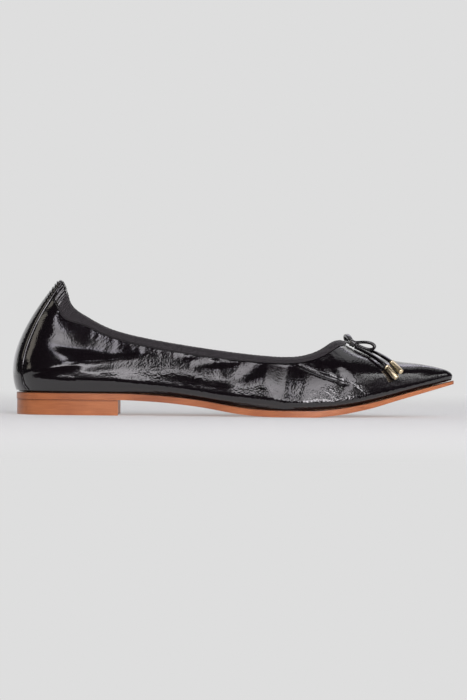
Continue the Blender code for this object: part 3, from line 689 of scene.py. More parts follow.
def woven_elastic(name):
    """Weave = sine along the band plus half a cosine across it. It drives the bump and the shade."""
    material, tree, shader = new_material(
        name, Roughness=0.78, IOR=1.5, Sheen_Weight=0.12, Sheen_Roughness=0.4
    )
    run = add_node(tree, "SeparateXYZ", None, _0_=add_node(tree, "UVMap", {"uv_map": "metres"}))
    ribs = add_node(tree, "Math", {"operation": "MULTIPLY", 1: 2 * math.pi / CROSS_RIB}, _0_=run)
    yarns = add_node(
        tree, "Math", {"operation": "MULTIPLY", 1: 2 * math.pi / YARN}, _0_=run.outputs["Y"]
    )
    rib_wave = add_node(tree, "Math", {"operation": "SINE"}, _0_=ribs)
    yarn_wave = add_node(tree, "Math", {"operation": "COSINE"}, _0_=yarns)
    weave = add_node(tree, "Math", {"operation": "MULTIPLY_ADD", 1: 0.5}, _0_=yarn_wave, _2_=rib_wave)
    bump = add_node(tree, "Bump", {"Strength": 0.5, "Distance": 0.00016}, Height=weave)
    shade = add_node(tree, "MapRange", {"From Min": -1.5, "From Max": 1.5}, Value=weave)
    tint = colour_steps(add_node(tree, "ValToRGB", None, Fac=shade), (0.0, "#181517"), (1.0, "#2e292d"))
    link(tree, shader, Base_Color=tint, Normal=bump)
    return material


black_elastic = woven_elastic("black_woven_elastic")
print("cross ribs and yarns in mm:", CROSS_RIB * 1000, YARN * 1000)

# %% [markdown]
# ## Where the strip ends and the elastic begins
# The back strip is wide at the sole and narrow at the top, so both pieces need its edge as a turn of the
# surface for any height. The elastic is deeper where it gathers behind the heel.

# %% Edges of strip and elastic
BINDING_WIDTH, BINDING_THICKNESS, BINDING_BLEND = 0.0052, 0.0009, 0.04
HEEL_BAND_WIDTH, HEEL_BAND_REACH = 0.0125, 0.0120
STRIP_WIDTH, STRIP_THICKNESS, STRIP_TURN_IN = 0.0350, 0.0010, 0.0100
# Height up the rib, and the strip's width there as a share of its full width.
STRIP_EDGE = np.array([(0.02, 1.14), (0.10, 1.02), (0.30, 0.97), (0.50, 0.82), (0.75, 0.55), (1.00, 0.30)])


def strip_edge_turn(up, clearance):
    """Turn where the level run from the back seam equals the strip's half width plus a clearance."""
    up = np.asarray(up, float)
    turn = np.linspace(0, KNOTS[4], 80)  # the strip ends well before the fifth rib
    level_ring = upper_point(turn[:, None], up[None, :])
    run = run_lengths(level_ring, 0)
    wanted = STRIP_WIDTH / 2 * monotone(up, STRIP_EDGE[:, 0], STRIP_EDGE[:, 1]) + clearance
    below = np.clip((run < wanted).sum(axis=0), 1, len(turn) - 1)
    column = np.arange(len(up))
    low, high = run[below - 1, column], run[below, column]
    return turn[below - 1] + (turn[below] - turn[below - 1]) * (wanted - low) / (high - low)


def up_below_rim(turn, distance):
    """The up value of the point this far under the rim, measured along the rib."""
    up = np.linspace(0, 1, 200)
    rib = upper_point(turn[:, None], up[None, :])
    run = run_lengths(rib, 1)
    left = run[:, -1:] - run
    inside = np.clip((left > distance[:, None]).sum(axis=1), 1, len(up) - 1)
    row = np.arange(len(turn))
    far, near = left[row, inside - 1], left[row, inside]
    return up[inside - 1] + (up[inside] - up[inside - 1]) * (far - distance) / (far - near)


def binding_reach(turn):
    """Width of the outer leg: the band's width, wider by a bell at the heel, less what lies over the rim."""
    rim = upper_point(turn, 1.0)
    back = rim[:, 0] - LENGTH * RIBS[0, 3]
    gather = np.exp(-((back / HEEL_BAND_REACH) ** 2))
    above_rim = WALL / 2 + GAP + BINDING_THICKNESS
    return BINDING_WIDTH + (HEEL_BAND_WIDTH - BINDING_WIDTH) * gather - above_rim


RIM_EDGE = strip_edge_turn(np.ones(1), 2 * GAP)[0]
print("strip's half width at the rim as a turn:", round(float(RIM_EDGE), 4))

# %% [markdown]
# ## The binding
# Its section is a hairpin: up the outside, round the rim, down the inside. Near the heel the band is wider
# and ruffled, because it gathers most there, and at the tab the patent covers it.

# %% Topline binding
BAND_ROWS, LEG_STEPS, FOLD_STEPS = 900, 9, 9
BAND_AROUND = 2 * (2 * LEG_STEPS + FOLD_STEPS)
TAB_REACH = 0.0085  # the patent covers the band this far from the strip
RUFFLE_PITCH, RUFFLE_HIGH, RUFFLE_REACH = 0.0024, 0.00042, 0.016
PUCKER_PITCH, PUCKER_HIGH = 0.0031, 0.00008
LEG_PUFF = 0.30  # how much each leg swells between rim and edge
EDGE_THIN, EDGE_ROUND = 0.35, 0.06  # the thickness at the edges, and the share of the way it takes to grow


def over_rim(turns, offset):
    """Half circle over the rim, round the wall's middle, with half the wall plus the offset as radius."""
    rim, normal, rising = upper_frame(turns, np.ones_like(turns))
    angle = np.linspace(0, math.pi, FOLD_STEPS + 2)[1:-1][None, :, None]
    centre = (rim - normal * WALL / 2)[:, None]
    spoke = np.cos(angle) * normal[:, None] + np.sin(angle) * rising[:, None]
    return centre + (WALL / 2 + offset) * spoke


def hairpin(turns, offset):
    """Path over the rim at a distance from the wall: outer leg, half circle, inner leg."""
    reach = up_below_rim(turns, binding_reach(turns))
    from_strip = np.minimum(turns, 1 - turns) - RIM_EDGE
    near_strip = np.clip(1 - from_strip / BINDING_BLEND, 0, 1)
    side = np.where(turns < 0.5, 1, -1)
    share = np.linspace(0, 1, LEG_STEPS)
    up = reach[:, None] + (1 - reach)[:, None] * share
    edge = strip_edge_turn(up.ravel(), 2 * GAP).reshape(up.shape)
    shifted = turns[:, None] + (side * near_strip)[:, None] * (edge - RIM_EDGE)
    point, normal, _ = upper_frame(shifted, up)
    puff = 1 + LEG_PUFF * np.sin(np.pi * share)[None, :, None]
    outer_leg = point + normal * offset * puff
    inner_leg = (point - normal * (WALL + offset * puff))[:, ::-1]
    return np.concatenate([outer_leg, over_rim(turns, offset), inner_leg], axis=1)


band_turns = np.interp(np.linspace(0, 1, BAND_ROWS), np.linspace(0, 1, len(turns) + 1), np.r_[turns, 1.0])
band_turns = RIM_EDGE + (1 - 2 * RIM_EDGE) * band_turns
band_in, band_out = hairpin(band_turns, GAP), hairpin(band_turns, GAP + BINDING_THICKNESS)
band_run = run_lengths(band_out, 0)
ruffle = np.exp(-((np.minimum(band_run, band_run[-1:] - band_run) / RUFFLE_REACH) ** 2))
cycles = band_run * 2 * math.pi
wrinkle = RUFFLE_HIGH * ruffle * np.sin(cycles / RUFFLE_PITCH + 1.3 * np.sin(band_run * 900))
wrinkle = wrinkle + PUCKER_HIGH * np.sin(cycles / PUCKER_PITCH + 2.0 * np.sin(band_run * 500))
outward = unit(band_out - band_in)
across = np.linspace(0, 1, band_out.shape[1])
rounded = np.clip(np.minimum(across, 1 - across) / EDGE_ROUND, 0, 1)[None, :, None] ** 0.5
thickness = (band_out - band_in) * (EDGE_THIN + (1 - EDGE_THIN) * rounded)
band_out = band_in + thickness + outward * (wrinkle[..., None] * rounded)
band_uv = np.stack([band_run, run_lengths(band_out, 1)], axis=-1)
topline_band = slab_piece("topline_band", band_out, band_in, band_uv)
middle = (band_run[:-1, 0] + band_run[1:, 0]) / 2
on_tab = np.minimum(middle, band_run[-1, 0] - middle) < TAB_REACH
slots = np.zeros(len(topline_band.data.polygons), dtype=np.int32)
slots[: on_tab.size * BAND_AROUND] = np.repeat(on_tab, BAND_AROUND)
topline_band.data.polygons.foreach_set("material_index", slots)
dress(topline_band, "topline_binding", black_elastic, crinkled_patent)

# %% [markdown]
# ## The back strip
# A strip of the same patent covers the back seam from the sole to the rim and folds over it. At the top the
# elastic under it draws it into short level wrinkles.

# %% Back strip
STRIP_ACROSS, STRIP_UP, STRIP_DOWN = 61, 150, 24
RUCHE_PITCH, RUCHE_HIGH, RUCHE_REACH = 0.0024, 0.00045, 0.011
STRIP_THIN = 0.30  # the thickness at the strip's two edges, as a share


def strip_path(offset):
    """Rows climb the back at a distance from the wall, pass over the rim and come down inside."""
    side = np.linspace(-1, 1, STRIP_ACROSS)
    low = up_below_rim(np.zeros(1), np.full(1, STRIP_TURN_IN))[0]
    legs = []
    for up in (np.linspace(STRIP_EDGE[0, 0], 1, STRIP_UP), np.linspace(1, low, STRIP_DOWN)):
        legs.append(upper_frame(side[:, None] * strip_edge_turn(up, 0.0)[None, :], up[None, :]))
    (outside, out_normal, _), (inside, in_normal, _) = legs
    fold = over_rim(side * strip_edge_turn(np.ones(1), 0.0)[0], offset)
    inside = inside - in_normal * (WALL + offset)
    return np.concatenate([outside + out_normal * offset, fold, inside], axis=1)


strip_in, strip_out = strip_path(GAP), strip_path(GAP + STRIP_THICKNESS)
strip_run = run_lengths(strip_out, 1)
rim_run = strip_run[:, STRIP_UP + 4 : STRIP_UP + 5]
ruche = np.exp(-((np.abs(strip_run - rim_run) / RUCHE_REACH) ** 2))
side = np.linspace(-1, 1, STRIP_ACROSS)[:, None]
bend = 1.6 * np.sin(side * 2.3) + 0.9 * np.sin(strip_run * 700)
fold_wave = np.sin(strip_run * 2 * math.pi / RUCHE_PITCH + bend)
roll = (1 - np.abs(side) ** 10)[..., None] ** 0.5
strip_normal = unit(strip_out - strip_in)
strip_out = strip_in + (strip_out - strip_in) * (STRIP_THIN + (1 - STRIP_THIN) * roll)
strip_out = strip_out + strip_normal * (RUCHE_HIGH * ruche * fold_wave * roll[..., 0])[..., None]
strip_uv = np.stack([run_lengths(strip_out, 0), strip_run], axis=-1)
back_seam_strip = slab_piece("back_seam_strip", strip_out[::-1], strip_in[::-1], strip_uv[::-1])
dress(back_seam_strip, "back_strip", crinkled_patent)

# %% [markdown]
# ## Sole leather
# The sole and heel are vegetable-tanned leather, cut and polished on the edge and left natural. A cut edge
# shows fine fibres that run along it. Its top is painted darker, as painted shade under the piece above it.

# %% Tan sole leather
# Per metre: fibres 1.1 mm high and 11 mm long along the cut edge, coarser than real so that they show, and
# clouds of 36 mm.
FIBRES, TAN_CLOUDS = (90.0, 90.0, 900.0), 28.0


def sole_leather(name, pale, deep, line):
    """Two tans in streaks along the cut edge, and painted shade of the colour line where the UV map's height
    ends.
    """
    material, tree, shader = new_material(name, Roughness=0.42, IOR=1.5, Coat_Weight=0.15, Coat_Roughness=0.3)
    place = add_node(tree, "TexCoord").outputs["Object"]
    stretch = add_node(tree, "Mapping", {"Scale": FIBRES}, Vector=place)
    streak = add_node(tree, "TexNoise", {"Scale": 1.0, "Detail": 4.0}, Vector=stretch)
    cloud = add_node(tree, "TexNoise", {"Scale": TAN_CLOUDS, "Detail": 3.0}, Vector=place)
    mixed = add_node(tree, "Math", {"operation": "MULTIPLY_ADD", 1: 0.5}, _0_=streak, _2_=cloud)
    tint = colour_steps(add_node(tree, "ValToRGB", None, Fac=mixed), (0.55, deep), (0.95, pale))
    height = add_node(tree, "SeparateXYZ", None, _0_=add_node(tree, "UVMap", {"uv_map": "edge"}))
    # Painted shade: near its top the edge darkens towards the colour line, where the piece above shades it.
    painted_shade_span = {"From Min": 0.86, "From Max": 0.97, "To Max": 0.8}
    edge = add_node(tree, "MapRange", painted_shade_span, Value=height.outputs["Y"])
    with_painted_shade = add_node(tree, "Mix", {"data_type": "RGBA", 7: linear(line)}, _0_=edge, _6_=tint)
    bump = add_node(tree, "Bump", {"Strength": 0.35, "Distance": 0.00012}, Height=streak)
    link(tree, shader, Base_Color=with_painted_shade.outputs[2], Normal=bump)
    return material


# The last colour of each is the painted shade along the top of its cut edge.
tan_sole = sole_leather("tan_sole_leather", "#b46d42", "#94522f", "#45230f")
tan_heel = sole_leather("tan_heel_leather", "#ba7244", "#9c5932", "#84492a")
print("leathers of the ground:", tan_sole.name, tan_heel.name)

# %% [markdown]
# ## Sole and sock
# Both are plates cut to the last's outline, so they are rings of that outline at several heights. The rows
# near each corner are close together and follow a quarter circle, which is how a sanded edge looks.

# %% Plates
AROUND, FLANK_ROWS, CORNER_ROWS = 720, 6, 5
SOLE_CORNER = 0.0003
SOCK_THICKNESS, SOCK_INSET, SOCK_LOW_CORNER, SOCK_HIGH_CORNER = 0.0020, 0.0025, 0.0002, 0.0006


def outline(turns, outset):
    """Feather line in plan, moved outwards, square to its own direction."""
    small = 1e-3
    along = unit((upper_point(turns + small, 0.0) - upper_point(turns - small, 0.0))[:, :2])
    return upper_point(turns, 0.0)[:, :2] + np.stack([along[:, 1], -along[:, 0]], axis=1) * outset


def plate_piece(name, outlines, heights, shares):
    """Plate from outlines in plan, a height function of x for each, and each ring's share of full height."""
    rings = [np.column_stack([flat, height(flat[:, 0])]) for flat, height in zip(outlines, heights)]
    grid = np.stack(rings)[:, ::-1]
    run = run_lengths(grid, 1)
    uv = np.stack([run, np.broadcast_to(np.array(shares)[:, None], run.shape)], axis=-1)
    piece = tube_piece(name, grid, uv, "edge")
    piece.data.set_sharp_from_angle(angle=math.radians(40))
    return piece


def rounded_rows(low, high):
    """Rises and insets of a plate's lower and upper corners, as quarter circles of the two radii."""
    angle = np.linspace(0, math.pi / 2, CORNER_ROWS)
    bottom = [(low * (1 - math.cos(a)), low * (1 - math.sin(a))) for a in angle]
    top = [(-high * (1 - math.cos(a)), high * (1 - math.sin(a))) for a in angle[::-1]]
    return bottom, top


def add_plate(name, edge, low_line, high_line, low, high, full):
    """Closed plate between two height lines, with quarter-round lower and upper corners."""
    bottom, top = rounded_rows(low, high)
    outlines, heights, shares = [], [], []
    for rise, inset in bottom:
        outlines.append(edge(-inset))
        heights.append(lambda x, rise=rise: low_line(x) + rise)
        shares.append(rise / full)
    for share in np.linspace(0, 1, FLANK_ROWS)[1:-1]:
        outlines.append(edge(0.0))
        heights.append(
            lambda x, share=share: (low_line(x) + low) * (1 - share) + (high_line(x) - high) * share
        )
        shares.append(low / full + (1 - (low + high) / full) * share)
    for rise, inset in top:
        outlines.append(edge(-inset))
        heights.append(lambda x, rise=rise: high_line(x) + rise)
        shares.append(1 + rise / full)
    return plate_piece(name, outlines, heights, shares)


half_turns = ribs_evenly(2 * AROUND)[1::2]
sole_plate = add_plate(
    "sole_plate", lambda extra: outline(half_turns, SOLE_MARGIN + extra), sole_bottom, sole_top,
    SOLE_CORNER, SOLE_CORNER, SOLE_THICKNESS,
)
dress(sole_plate, "outsole", tan_sole)

sock = add_plate(
    "sock_lining", lambda extra: outline(half_turns, extra - SOCK_INSET),
    lambda x: sole_top(x) + GAP, lambda x: sole_top(x) + GAP + SOCK_THICKNESS,
    SOCK_LOW_CORNER, SOCK_HIGH_CORNER, SOCK_THICKNESS,
)
dress(sock, "insole", beige_sock)

# %% [markdown]
# ## The heel block
# A low heel is a stack of leather lifts, cemented and pared down to the seat's outline. Its front face, the
# breast, is cut to a wide shallow arc. A fine groove shows where the block meets the sole.

# %% Heel block
HEEL_LENGTH, HEEL_TAPER, BREAST_RADIUS = 0.0600, 0.0006, 0.200
HEEL_LOW_CORNER, HEEL_HIGH_CORNER, HEEL_CLEARANCE = 0.0004, 0.00015, 0.00005
OUTER_STEPS, BREAST_STEPS = 180, 80


def heel_outline(outset):
    """The outline behind the breast, closed by the breast's arc: x = centre - sqrt(radius^2 - y^2)."""
    centre = LENGTH * RIBS[0, 0] - SOLE_MARGIN + HEEL_LENGTH + BREAST_RADIUS
    inset = min(outset - SOLE_MARGIN, 0)
    turns = np.linspace(0, 1, 4001)
    flat = outline(turns, outset)
    behind = flat[:, 0] < centre - np.sqrt(BREAST_RADIUS**2 - flat[:, 1] ** 2) + inset
    first, last = turns[np.argmin(behind)], turns[len(turns) - 1 - np.argmin(behind[::-1])]
    outer = outline(np.linspace(0, first, OUTER_STEPS) + first / 400, outset)[:-1]
    inner = outline(np.linspace(last, 1, OUTER_STEPS) - (1 - last) / 400, outset)[1:]
    y = np.linspace(outer[-1, 1], inner[0, 1], BREAST_STEPS + 2)[1:-1]
    arc = np.column_stack([centre - np.sqrt(BREAST_RADIUS**2 - y**2) + inset, y])
    return np.concatenate([outer, arc, inner])


heel_block = add_plate(
    "heel_block", lambda extra: heel_outline(SOLE_MARGIN - HEEL_TAPER / 2 + extra),
    lambda x: np.zeros(len(x)), lambda x: np.full(len(x), HEEL_LIFT - HEEL_CLEARANCE),
    HEEL_LOW_CORNER, HEEL_HIGH_CORNER, HEEL_LIFT,
)
dress(heel_block, "heel", tan_heel)

# %% [markdown]
# ## The bow
# The bow is one narrow folded strip of soft patent: two small loops, a knot over them and two ends that run
# down the vamp into metal tubes. A loop is half a figure of eight, a lemniscate, in its own leaning plane.

# %% Bow places
BOW_SETBACK = 0.0064
RIBBON_WIDTH, RIBBON_THICKNESS = 0.0023, 0.0011
KNOT_SIZE = np.array([0.0045, 0.0046, 0.0043])
LOOP_LENGTH, LOOP_HEIGHT, LOOP_LIFT = 0.0152, 0.0040, 0.0003
TAIL_DIAMETER, TIP_RADIUS, TIP_LENGTH, TIP_BORE = 0.0020, 0.0017, 0.0100, 0.0040
LOOPS = {
    # turn, rise and lean in degrees; long and tall as shares of the loop's length and height
    "near": {"turn": 17, "rise": -10, "long": 0.90, "tall": 1.00, "lean": 6},
    "far": {"turn": 250, "rise": 16, "long": 0.80, "tall": 0.90, "lean": -8},
}
TAILS = {
    # share of the way back from the toe's ridge, height up the rib, height over the skin in diameters
    "upper": [(-0.014, 0.895, 0.80), (-0.008, 0.850, 0.95), (0.004, 0.785, 1.20), (0.032, 0.690, 1.20),
              (0.052, 0.580, 1.12), (0.066, 0.480, 1.12)],
    "lower": [(0.021, 0.895, 0.72), (0.030, 0.840, 0.74), (0.045, 0.770, 0.80), (0.064, 0.670, 0.95),
              (0.079, 0.550, 1.08), (0.088, 0.430, 1.12)],
}

ridge = np.array([TOE_TURN])
seat, seat_normal, _ = (v[0] for v in upper_frame(ridge, up_below_rim(ridge, np.array([BOW_SETBACK]))))
ahead = unit(np.cross([0.0, 1.0, 0.0], seat_normal))
BOW_AXES = np.stack([ahead, np.cross(seat_normal, ahead), seat_normal], axis=1)
BOW_CENTRE = seat + seat_normal * (GAP + RIBBON_THICKNESS / 4 + KNOT_SIZE[2] / 2)
print("knot centre above the floor in mm:", round(float(BOW_CENTRE[2]) * 1000, 1))

# %% [markdown]
# ## The loops
# A strip folded from soft leather has a full, rounded section, so a loop is a superellipse carried along its
# path. Here it is drawn 1.25 times wider and 1.75 times thicker than the flat strip, because folding swells it.

# %% Straps and loops
STRAP_POWER, STRAP_STEPS = 3.2, 28
LOOP_STEPS, LOOP_SWELL, LOOP_THICKER = 140, 1.25, 1.75
LOOP_TUCK, LOOP_SQUEEZE, SQUEEZE_REACH = 0.0004, 0.25, 0.18


def strap(path, flat_way, half_width, half_thickness):
    """Rings along a path: superellipse |x/a|^p + |y/b|^p = 1, wide along flat_way, thin across it."""
    tangent = unit(np.gradient(path, axis=0))
    wide = unit(flat_way - (flat_way * tangent).sum(axis=1, keepdims=True) * tangent)
    thin = np.cross(tangent, wide)
    angle = (np.arange(STRAP_STEPS) + 0.5) / STRAP_STEPS * 2 * math.pi
    x, y = [np.sign(v) * np.abs(v) ** (2 / STRAP_POWER) for v in (np.cos(angle), np.sin(angle))]
    a, b = [np.broadcast_to(half, len(path))[:, None] for half in (half_width, half_thickness)]
    return path[:, None] + wide[:, None] * (x * a)[..., None] + thin[:, None] * (y * b)[..., None]


def add_loop(side, turn, rise, long, tall, lean):
    """Half a lemniscate: along = reach sin a, away = height sin 2a / 2, turned into the loop's plane."""
    reach = LOOP_LENGTH * long
    start = math.asin((KNOT_SIZE[0] / 2 - LOOP_TUCK) / reach)
    a = np.linspace(start, math.pi - start, LOOP_STEPS)
    local = np.stack([reach * np.sin(a), -LOOP_HEIGHT * tall / 2 * np.sin(2 * a), np.zeros_like(a)], axis=1)
    turned = (
        Matrix.Rotation(-math.radians(turn), 3, "Z")
        @ Matrix.Rotation(-math.radians(rise), 3, "Y")
        @ Matrix.Rotation(math.radians(90 + lean), 3, "X")
    )
    turned = np.array(turned)
    path = BOW_CENTRE + BOW_AXES[:, 2] * LOOP_LIFT + local @ turned.T
    flat_way = np.broadcast_to(turned[:, 2], path.shape)
    squeeze = 1 - LOOP_SQUEEZE * np.exp(-(((np.sin(a) - np.sin(start)) / SQUEEZE_REACH) ** 2))
    half_width = RIBBON_WIDTH / 2 * LOOP_SWELL * squeeze
    grid = strap(path, flat_way, half_width, RIBBON_THICKNESS / 2 * LOOP_THICKER)
    dress(tube_piece("bow_strap_" + side, grid, run_uv(grid)), "bow_loop_" + side, smooth_patent)


for side, shape in LOOPS.items():
    add_loop(side, **shape)

# %% [markdown]
# ## The ends of the bow
# Each end leaves the knot and hangs down the vamp. It is the same section carried along a smooth route, which
# is given as heights over the skin in diameters. Its last third narrows to fit the bore of its metal tip.

# %% Bow ends
END_STEPS, END_SWELL, END_WAVE, END_EXTRA, NARROWING = 90, 1.25, 0.08, 0.0004, 0.3


def smooth_route(places, count):
    """Open curve through the points: cubic pieces whose tangents come from the neighbours."""
    run = np.concatenate([[0], np.cumsum(np.linalg.norm(np.diff(places, axis=0), axis=1))])
    tangent = np.gradient(places, run, axis=0)
    at = np.linspace(0, run[-1], count)
    k = np.clip(np.searchsorted(run, at, side="right") - 1, 0, len(run) - 2)
    width = (run[k + 1] - run[k])[:, None]
    t = (at - run[k])[:, None] / width
    return cubic_piece(t, width, (places[k], places[k + 1]), (tangent[k], tangent[k + 1]))


def add_tail(side, route):
    """Strap along its route over the skin: 1.25 diameters wide less a slow wave, then as wide as the bore."""
    back, up, high = np.array(route).T
    point, away, _ = upper_frame(TOE_TURN * (1 - back), up)
    path = smooth_route(point + away * (high * TAIL_DIAMETER)[:, None], END_STEPS)
    flat_way = np.cross(unit(np.gradient(path, axis=0)), smooth_route(away, END_STEPS))
    share = np.linspace(0, 1, END_STEPS)
    half_width = TAIL_DIAMETER / 2 * (END_SWELL - END_WAVE * np.sin(share * 9) ** 2)
    most = TAIL_DIAMETER / 2 + END_EXTRA * np.clip((1 - share) / NARROWING, 0, 1)
    grid = strap(path, flat_way, np.minimum(half_width, most), TAIL_DIAMETER / 2)
    dress(tube_piece("bow_end_" + side, grid, run_uv(grid)), "bow_tail_" + side, smooth_patent)
    return path[-1], unit(path[-1] - path[-8])


print("places on each route:", [len(route) for route in TAILS.values()])

# %% [markdown]
# ## Pale gold plate
# The tips are brass tube, turned, polished and plated with pale gold. Plate this thin keeps the faint marks of
# the turning, so its gloss drifts a little from place to place.

# %% Polished gold
GOLD_CLOUDS = 700.0  # per metre, so 1.4 mm


def polished_gold(name):
    """Metal whose roughness drifts between 0.20 and 0.38 in soft clouds, with a very low bump."""
    material, tree, shader = new_material(name, Base_Color=linear("#fae8c2"), Metallic=1.0)
    place = add_node(tree, "TexCoord").outputs["Object"]
    cloud = add_node(tree, "TexNoise", {"Scale": GOLD_CLOUDS, "Detail": 3.0}, Vector=place)
    span = {"From Min": 0.3, "From Max": 0.7, "To Min": 0.20, "To Max": 0.38}
    rough = add_node(tree, "MapRange", span, Value=cloud)
    bump = add_node(tree, "Bump", {"Strength": 0.08, "Distance": 0.0001}, Height=cloud)
    link(tree, shader, Roughness=rough, Normal=bump)
    return material


pale_gold = polished_gold("polished_pale_gold")
print("metal of the tips:", pale_gold.name)

# %% [markdown]
# ## The metal tips
# A tip is turned on a lathe, so it is a surface of revolution: one profile that goes up the bore, round the
# rolled mouth, over a fine groove and along the tube to its domed end.

# %% Metal tips
TIP_STEPS, DOME = 56, 0.0005
CORNER, TINY = 0.0001, 0.00002
GROOVE_START, GROOVE_MIDDLE, GROOVE_END, GROOVE_DEPTH = 0.0008, 0.00095, 0.0011, 0.00012


def turned_piece(name, profile, centre, direction):
    """Surface of revolution: the profile (radius, place along) turned about the direction through centre."""
    helper = unit(np.cross(direction, [0.31, 0.17, 0.94]))
    other = np.cross(direction, helper)
    angle = (np.arange(TIP_STEPS) + 0.5) / TIP_STEPS * 2 * math.pi
    spoke = np.cos(angle)[:, None] * helper + np.sin(angle)[:, None] * other
    radius, along = np.array(profile).T
    grid = centre + along[:, None, None] * direction + radius[:, None, None] * spoke[None]
    return tube_piece(name, grid, run_uv(grid))


def add_tip(side, end, direction, metal):
    """Tube round the end of its tail, from the bottom of the bore to the far end. Sizes are the frame's."""
    bore, mouth, outer = TAIL_DIAMETER / 2 + GAP, -(TIP_BORE - GAP), TIP_RADIUS
    far = mouth + TIP_LENGTH
    profile = [(TINY, GAP), (bore - CORNER, GAP), (bore, GAP - CORNER), (bore, mouth + 2 * CORNER)]
    profile += [(bore + CORNER, mouth + CORNER / 2), (bore + 2 * CORNER, mouth)]
    profile += [(outer - CORNER, mouth), (outer, mouth + CORNER)]
    profile += [(outer, mouth + GROOVE_START), (outer - GROOVE_DEPTH, mouth + GROOVE_MIDDLE)]
    profile += [(outer, mouth + GROOVE_END)]
    for v in np.linspace(0, math.pi / 2, 8):
        profile.append((outer - DOME * (1 - math.cos(v)), far - DOME * (1 - math.sin(v))))
    profile += [(outer - 8 * CORNER, far + TINY), (TINY, far + TINY)]
    piece = turned_piece("bow_tube_" + side, profile, end, direction)
    piece.data.set_sharp_from_angle(angle=math.radians(50))
    dress(piece, "bow_tip_" + side, metal)


for side, route in TAILS.items():
    end, direction = add_tail(side, route)
    add_tip(side, end, direction, pale_gold)

# %% [markdown]
# ## The knot
# The knot is one turn of the strip round the middle of the bow. It is a ball pressed towards a box, with a
# shallow pleat that runs round it.

# %% Knot
KNOT_ROWS, KNOT_STEPS, KNOT_POWER, KNOT_SHORT = 60, 72, 0.62, 0.94
PLEAT_DEPTH = 0.07
latitude = np.linspace(-math.pi / 2 + 0.01, math.pi / 2 - 0.01, KNOT_ROWS)[:, None]
longitude = ((np.arange(KNOT_STEPS) + 0.5) / KNOT_STEPS * 2 * math.pi)[None, :]


def blunt(value):
    """A power below one, with the sign kept: it presses a round section towards a square one."""
    return np.sign(value) * np.abs(value) ** KNOT_POWER


cross = np.cos(latitude) * np.ones_like(longitude)
knot_local = np.stack(
    [
        blunt(np.sin(latitude)) * np.ones_like(longitude) * KNOT_SHORT,
        blunt(cross) * blunt(np.cos(longitude)),
        blunt(cross) * blunt(np.sin(longitude)),
    ],
    axis=-1,
)
pleats = 1 - PLEAT_DEPTH * np.cos(knot_local[..., 0] * 2 * math.pi * 1.1 + 0.8 * knot_local[..., 1]) * cross
knot_points = BOW_CENTRE + (knot_local * pleats[..., None] * KNOT_SIZE / 2) @ BOW_AXES.T
dress(tube_piece("bow_wrap", knot_points, run_uv(knot_points)), "bow_knot", smooth_patent)

# %% [markdown]
# ## The backdrop
# The shoe stands on one sheet of pale paper that curves up behind it. Near the shoe it is lit mostly by the
# lamps, so it takes the soft shadow. Further off it glows evenly, as the picture's background is even.

# %% Backdrop
SWEEP_Y, SWEEP_RADIUS, SWEEP_HALF_WIDTH, SWEEP_TOP = 5.0, 1.0, 7.0, 7.0
bend = np.linspace(0, math.pi / 2, 24)
profile_y = np.concatenate([[-7.0, -2.0], SWEEP_Y + SWEEP_RADIUS * np.sin(bend), [SWEEP_Y + SWEEP_RADIUS]])
profile_z = np.concatenate([[0.0, 0.0], SWEEP_RADIUS * (1 - np.cos(bend)), [SWEEP_TOP]])
sweep = np.stack([np.broadcast_to(x, profile_y.shape) for x in (-SWEEP_HALF_WIDTH, SWEEP_HALF_WIDTH)])
sheet_grid = np.stack([sweep, np.stack([profile_y] * 2), np.stack([profile_z] * 2)], axis=-1) + MIDDLE
backdrop = grid_piece("backdrop", sheet_grid)

paper, tree, shader = new_material("pale_backdrop_paper", Base_Color=linear("#f2f2f2"), Roughness=0.9)
split = add_node(tree, "SeparateXYZ", None, _0_=add_node(tree, "TexCoord").outputs["Object"])
off = add_node(tree, "Math", {"operation": "ABSOLUTE"}, _0_=split.outputs["Y"])
span = {"From Min": 0.05, "From Max": 0.8, "To Min": 0.38, "interpolation_type": "SMOOTHSTEP"}
far_share = add_node(tree, "MapRange", span, Value=off)
glow = add_node(tree, "Emission", {"Color": linear("#dedede"), "Strength": 1.0})
blend = add_node(tree, "MixShader", None, _0_=far_share, _1_=shader, _2_=glow)
link(tree, tree.nodes["Material Output"], Surface=blend)
backdrop.data.materials.append(paper)
print("backdrop in metres:", [round(float(v), 2) for v in backdrop.dimensions])

# %% [markdown]
# ## The lamps
# Six soft area lamps light the paper, the tan sole and the elastic. The rim gets a cool light from behind, and
# the heel a small window of light.

# %% Area lamps
AIM = (0.0, 0.0, 0.03)
LAMPS = {
    # place, size, radiance, tint
    "overhead": ((0.0, 0.60, 1.5), (1.6, 0.8), 0.5, "#fdfdff"),
    "back_rim": ((-0.80, 1.20, 0.12), (0.6, 0.4), 0.15, "#f0eaff"),
    "top_back": ((0.10, 2.00, 2.10), (1.8, 0.7), 1.2, "#efe8ff"),
    "left_side": ((-1.5, 0.10, 0.90), (0.5, 0.9), 1.1, "#efe8da"),
    "right_side": ((1.20, -0.55, 1.10), (0.7, 0.5), 2.2, "#ffffff"),
    "heel_window": ((-0.40, -1.07, 1.29), (0.55, 0.20), 1.8, "#f3eeff"),
}


def area_lamp(name, place, size, radiance, tint):
    """Flat lamp of one radiance, turned to the shoe: its power is radiance times its area times pi."""
    light = bpy.data.lights.new(name, "AREA")
    light.shape = "RECTANGLE"
    light.size, light.size_y = size
    light.energy = radiance * size[0] * size[1] * math.pi
    light.color = linear(tint)[:3]
    lamp = bpy.data.objects.new(name, light)
    bpy.context.scene.collection.objects.link(lamp)
    lamp.location = place
    lamp.rotation_euler = (Vector(AIM) - Vector(place)).to_track_quat("-Z", "Y").to_euler()


for name, values in LAMPS.items():
    area_lamp(name, *values)
print("lamps:", list(LAMPS))

